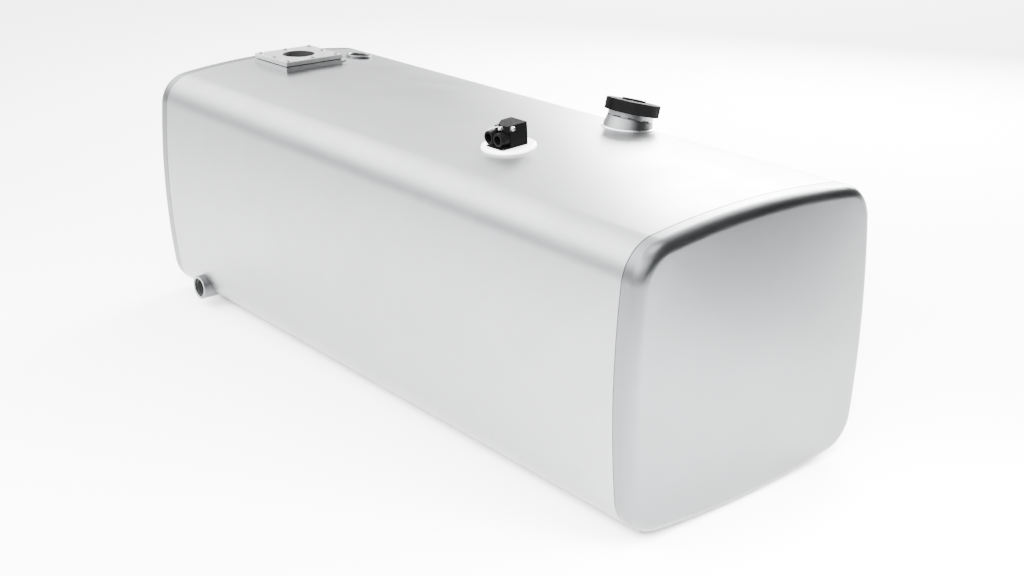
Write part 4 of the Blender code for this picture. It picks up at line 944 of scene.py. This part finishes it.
# ---------------------------------------------------------------- access plate
HALF_X = 0.0805
HALF_Y = 0.0865
FRAME_HEIGHT = 0.0112
FRAME_BEVEL = 0.0004
ACCESS_GASKET_TOP = 0.0127
ACCESS_GASKET_INSET = 0.0030
PLATE_BOTTOM = 0.0130
PLATE_TOP = 0.0245
PLATE_BORE = 0.0435
PLATE_BEVEL = 0.0007
SLIT = 0.0008              # taken off frame and plate so that the gasket shows
# A dark ring of painted shade lining the plate's hole and going down into the tank.
HOLE_SHADE_RADIUS = 0.0432
HOLE_SHADE_BORE = 0.0405
HOLE_SHADE_TOP = PLATE_TOP - 0.0008
HOLE_SHADE_FOOT = -0.012
TAPPED = 0.0042
BOLT_INSET = 0.0125
BOLT_HOLE = 0.0035
TAPPED_HOLE = 0.0033
BOLT_ACROSS = 0.010
BOLT_RADIUS = 0.003
BOLT_HEAD = 0.0028
BOLT_CROWN = 0.0047
BOLT_CHAMFER = 0.0009
BOLT_CORNER = 0.0002       # left on each corner of the head before the flats are cut
BOLT_TURN = math.radians(17)
BOLT_STEPS = 24
LUG_INSET = 0.006
LUG_RISE = 0.0045
STUD_LENGTH = 0.014
STUD_HEAD = 0.0045
STUD_HEAD_TOP = 0.0025
STUD_SEAT = -0.005


def bolt_places():
    steps = (-1, 0, 1)
    return [(x * (HALF_X - BOLT_INSET), y * (HALF_Y - BOLT_INSET)) for x in steps for y in steps if x or y]


def slab(bottom, top, inset=0.0, soft=SMALL_EDGE):
    return block((inset - HALF_X, HALF_X - inset), (inset - HALF_Y, HALF_Y - inset), (bottom, top),
                 ACCESS, soft)


def bolt_holes(radius, bottom):
    return [rod(radius, REACH, bottom, ACCESS, at=at, steps=BOLT_STEPS) for at in bolt_places()]


def show_access():
    """Welded frame, flat gasket, and the plate with its round hole and eight bolts."""
    lug = frame_at((ACCESS_X + HALF_X - LUG_INSET, ACCESS_Y + HALF_Y, CROWN_Z + LUG_RISE),
                   (1, 0, 0), (0, 1, 0))
    hole = (FRAME_HOLE_RADIUS, REACH, -REACH, ACCESS)
    show("access_frame", slab(-FRAME_HEIGHT, FRAME_HEIGHT - SLIT), "plate", bevel=FRAME_BEVEL, cuts=[
        tank_outside(), rod(*hole), *bolt_holes(TAPPED_HOLE, TAPPED),
        rod(TAPPED_HOLE, REACH, STUD_SEAT - GAP, lug, steps=BOLT_STEPS)])
    show("access_gasket", slab(FRAME_HEIGHT + GAP - SLIT, ACCESS_GASKET_TOP + SLIT, ACCESS_GASKET_INSET),
         "rubber", cuts=[rod(*hole), *bolt_holes(BOLT_HOLE, -REACH)])
    show("access_plate", slab(PLATE_BOTTOM + SLIT, PLATE_TOP), "plate", bevel=PLATE_BEVEL, cuts=[
        rod(PLATE_BORE, REACH, -REACH, ACCESS), *bolt_holes(BOLT_HOLE, -REACH)])
    # Painted shade: a dark ring in the hole, so that the hole reads as dark inside.
    shade_piece("access_hole_shade", turned([
        (HOLE_SHADE_BORE, HOLE_SHADE_TOP), (HOLE_SHADE_RADIUS, HOLE_SHADE_TOP, SMALL_EDGE),
        (HOLE_SHADE_RADIUS, HOLE_SHADE_FOOT, SMALL_EDGE), (HOLE_SHADE_BORE, HOLE_SHADE_FOOT, SMALL_EDGE)],
        ACCESS, ring=True))
    for index, at in enumerate(bolt_places()):
        show_bolt(f"access_bolt_{index + 1}", at, index * BOLT_TURN)
    show("earth_stud", turned([
        (0.0, STUD_LENGTH), (BOLT_RADIUS, STUD_LENGTH, SMALL_EDGE), (BOLT_RADIUS, STUD_HEAD_TOP),
        (STUD_HEAD, STUD_HEAD_TOP, TINY_EDGE), (STUD_HEAD, GAP), (BOLT_RADIUS, GAP),
        (BOLT_RADIUS, STUD_SEAT), (0.0, STUD_SEAT)], lug, steps=SMALL_ROUND), "steel")


def show_bolt(node, at, turn):
    """Hex head with its crown turned off, on a plain shank."""
    base = PLATE_TOP + GAP
    top = base + BOLT_HEAD
    foot = TAPPED + GAP
    axes = ACCESS @ Matrix.Translation((*at, 0.0))
    corner = BOLT_ACROSS / math.sqrt(3) + BOLT_CORNER
    body = turned([(0.0, top), (BOLT_CROWN, top, 0.0002), (corner, top - BOLT_CHAMFER), (corner, base),
                   (BOLT_RADIUS, base), (BOLT_RADIUS, foot), (0.0, foot)], axes, steps=SMALL_ROUND)
    sides = axes @ Matrix.Rotation(turn, 4, "Z")
    cutters = []
    for index in range(6):
        flat = sides @ Matrix.Rotation(math.pi / 6 + math.pi / 3 * index, 4, "Z")
        cutters.append(block((BOLT_ACROSS / 2, 0.012), (-0.01, 0.01), (base - 0.001, top + 0.001), flat))
    show(node, body, "steel", cuts=cutters)


# ---------------------------------------------------------------- sockets
SOCKET_PITCH = 0.0023
SOCKET_THREAD = 0.0009
VENT_BORE = 0.0275
VENT_RADIUS = 0.0355
VENT_HEIGHT = 0.007
VENT_EDGE = 0.0016
VENT_SINK = 0.0055         # where the countersink ends, and how far its cutter widens above that
VENT_THREADS = (0.0050, -0.0105)
# Painted shade: where the dark skin lies in the vent's bore.
VENT_SHADE = (0.0046, -0.0098)
VENT_SPIGOT_FOOT = -0.010
OUTLET_BORE = 0.0248
OUTLET_STEP_BORE = 0.020
OUTLET_RADIUS = 0.0315
OUTLET_LENGTH = 0.066
OUTLET_STEP = -0.006
OUTLET_EDGE = 0.0012
OUTLET_CHAMFER = 0.0006
OUTLET_THREADS = (-0.0075, -0.060)
OUTLET_SPIGOT_TOP = -0.0085
# Painted shade: where the dark skins lie in the outlet's mouth and in its tapped bore.
MOUTH_SHADE = (-0.0016, -0.0054)
BORE_SHADE = (-0.0068, -0.062)
LINING_WALL = 0.0006
LINING_OVERLAP = 0.0002    # how far a lining goes into the walls that it lies on


def socket_threads(radius, top, bottom):
    """Inner profile of a tapped bore, going down."""
    points = []
    height = top
    while height - SOCKET_PITCH > bottom:
        points += [(radius, height), (radius + SOCKET_THREAD, height - SOCKET_PITCH / 2)]
        height -= SOCKET_PITCH
    return points + [(radius, height)]


def shade_lining(name, axes, radius, top, bottom):
    """Painted shade: a dark skin on the walls of a hole, so that its inside reads as shadowed."""
    piece = turned([
        (radius + LINING_OVERLAP, top), (radius + LINING_OVERLAP, bottom),
        (radius - LINING_WALL, bottom + LINING_WALL), (radius - LINING_WALL, top)], axes, ring=True)
    shade_piece(name, piece)


def show_vent():
    """Low bung with a countersunk and tapped bore."""
    above, below = 0.012, -0.020
    mouth = turned([
        (0.0, above), (VENT_BORE + VENT_SINK, above), (VENT_BORE, VENT_SINK),
        *socket_threads(VENT_BORE, *VENT_THREADS), (VENT_BORE, below), (0.0, below)], VENT)
    show("vent_bung", turned([
        (0.0, VENT_HEIGHT), (VENT_RADIUS, VENT_HEIGHT, VENT_EDGE), (VENT_RADIUS, -VENT_HEIGHT),
        (0.0, -VENT_HEIGHT)], VENT), "fittings", cuts=[tank_outside()],
        joins=[rod(VENT_SPIGOT_RADIUS, VENT_HEIGHT / 2, VENT_SPIGOT_FOOT, VENT)], late_cuts=[mouth])
    # Painted shade: a dark skin in the bore, so that it reads as a shadowed hole.
    shade_lining("vent_bore_shade", VENT, VENT_BORE, *VENT_SHADE)


def show_outlet():
    """Thick socket with a chamfered mouth, a plain bore, and a step down to a tapped one."""
    above, below = 0.010, -0.080
    mouth = OUTLET_BORE + OUTLET_CHAMFER
    cutter = turned([
        (0.0, above), (mouth, above), (mouth, -0.0004), (OUTLET_BORE, -0.0010), (OUTLET_BORE, OUTLET_STEP),
        (OUTLET_STEP_BORE, OUTLET_STEP), *socket_threads(OUTLET_STEP_BORE, *OUTLET_THREADS),
        (OUTLET_STEP_BORE, below), (0.0, below)], OUTLET)
    show("outlet_socket", turned([
        (0.0, 0.0), (OUTLET_RADIUS, 0.0, OUTLET_EDGE), (OUTLET_RADIUS, -OUTLET_LENGTH),
        (0.0, -OUTLET_LENGTH)], OUTLET), "fittings", cuts=[tank_outside()],
        joins=[rod(OUTLET_SPIGOT_RADIUS, OUTLET_SPIGOT_TOP, -OUTLET_LENGTH, OUTLET)], late_cuts=[cutter])
    # Painted shade: dark skins in the mouth and the bore, so that they read as a shadowed hole.
    shade_lining("outlet_mouth_shade", OUTLET, OUTLET_BORE, *MOUTH_SHADE)
    shade_lining("outlet_bore_shade", OUTLET, OUTLET_STEP_BORE, *BORE_SHADE)


# ---------------------------------------------------------------- the whole object
show_wrapper()
show_end("near_end", 1)
show_end("far_end", -1)
show_neck()
show_collar()
show_cap()
show_lock()
show_boss()
show_head()
show_contacts()
show_dip()
show_access()
show_vent()
show_outlet()
for node in ("swash_baffle_1", "swash_baffle_2", "swash_baffle_3"):
    finished(frame["nodes"][node], "baffles")


# ---------------------------------------------------------------- stage
FLOOR_REACH = 30.0
FLOOR_DEPTH = 0.05
PALE = 0.95
SKY = 16.0
BY_HEIGHT = ((0.0, 0.16), (0.10, 0.11), (0.24, 0.10), (0.40, 0.45), (0.50, 0.95),
             (0.74, 1.0), (0.88, 0.25), (1.0, 0.20))
BY_SIDE = ((0.0, 1.0), (0.20, 0.95), (0.425, 0.50), (0.775, 0.018))
FAR_SIDE = (0.70, 0.71, 0.0)      # the direction in which the surround dims
CAMERA_AT = (2.50421, -1.94638, 1.40277)
CAMERA_AZIMUTH = math.radians(50.22)
CAMERA_ELEVATION = math.radians(20.99)
SENSOR_WIDTH = 36.0
LENS = 49.454


def softbox(name, at, target, size, power, mirrored=True):
    """An area light; one that isn't mirrored lights the floor and doesn't show in the metal."""
    light = bpy.data.lights.new(name, "AREA")
    light.shape = "RECTANGLE"
    light.size, light.size_y = size
    light.energy = power
    lamp = bpy.data.objects.new(name, light)
    lamp.location = at
    lamp.rotation_mode = "QUATERNION"
    lamp.rotation_quaternion = (Vector(target) - Vector(at)).to_track_quat("-Z", "Y")
    lamp.visible_glossy = mirrored
    bpy.context.scene.collection.objects.link(lamp)


def lay_floor():
    """Plain pale floor, with a top face at the tank's own foot."""
    material, tree, shader = new_material("pale_floor")
    coordinates = tree.nodes.new("ShaderNodeTexCoord").outputs["Object"]
    shader.inputs["Base Color"].default_value = (PALE, PALE, PALE, 1.0)
    tree.links.new(ranged(tree, noise_of(tree, coordinates, 3.0), 0.75, 0.85), shader.inputs["Roughness"])
    sides = (-FLOOR_REACH, FLOOR_REACH)
    floor = thing("floor", block(sides, sides, (-FLOOR_DEPTH, 0.0), Matrix.Identity(4)))
    floor.data.materials.append(material)


def stepped(tree, value, stops):
    """Grey levels that a value runs through, as (value, level) stops."""
    ramp = tree.nodes.new("ShaderNodeValToRGB")
    ramp.color_ramp.interpolation = "EASE"
    while len(ramp.color_ramp.elements) < len(stops):
        ramp.color_ramp.elements.new(0.5)
    for element, (place, level) in zip(ramp.color_ramp.elements, stops):
        element.position = place
        element.color = (level, level, level, 1.0)
    tree.links.new(value, ramp.inputs["Fac"])
    return ramp.outputs["Color"]


def hang_sky():
    """Soft studio surround, bright half way up, and dim low down and on the far side."""
    world = bpy.data.worlds.new("studio")
    bpy.context.scene.world = world
    world.use_nodes = True
    tree = world.node_tree
    background = tree.nodes["Background"]
    direction = tree.nodes.new("ShaderNodeTexCoord").outputs["Generated"]
    split = tree.nodes.new("ShaderNodeSeparateXYZ")
    tree.links.new(direction, split.inputs["Vector"])
    tree.links.new(stepped(tree, split.outputs["Z"], BY_HEIGHT), background.inputs["Color"])
    away = tree.nodes.new("ShaderNodeVectorMath")
    away.operation = "DOT_PRODUCT"
    away.inputs[1].default_value = FAR_SIDE
    tree.links.new(direction, away.inputs[0])
    across = stepped(tree, ranged(tree, away.outputs["Value"], 0.0, 1.0, -1.0, 1.0), BY_SIDE)
    tree.links.new(ranged(tree, across, 0.0, SKY, 0.0, 1.0), background.inputs["Strength"])


lay_floor()
hang_sky()
softbox("key", (-1.2, 3.4, 2.0), (0.5, 0.0, 0.5), (2.6, 1.3), 1000.0)
softbox("front_fill", (0.2, -1.8, 1.6), (0.2, -1.0, 0.0), (3.2, 1.0), 260.0, mirrored=False)
softbox("side_fill", (1.60, 0.05, 0.9), (1.20, 0.05, 0.0), (0.5, 1.1), 160.0, mirrored=False)
softbox("corner_fill", (1.80, -1.40, 1.3), (1.40, -0.95, 0.0), (0.6, 0.6), 110.0, mirrored=False)
softbox("top", (0.9, -0.4, 3.4), (0.7, 0.0, 0.6), (2.0, 1.6), 110.0)
softbox("back_fill", (-4.5, 6.0, 4.0), (-3.0, 3.5, 0.0), (4.0, 4.0), 800.0, mirrored=False)

camera_data = bpy.data.cameras.new("camera")
camera_data.sensor_width = SENSOR_WIDTH
camera_data.lens = LENS
camera = bpy.data.objects.new("camera", camera_data)
back = Vector((math.sin(CAMERA_AZIMUTH) * math.cos(CAMERA_ELEVATION),
               -math.cos(CAMERA_AZIMUTH) * math.cos(CAMERA_ELEVATION), math.sin(CAMERA_ELEVATION)))
camera.location = CAMERA_AT
camera.rotation_mode = "QUATERNION"
camera.rotation_quaternion = (-back).to_track_quat("-Z", "Y")
bpy.context.scene.collection.objects.link(camera)
bpy.context.scene.camera = camera
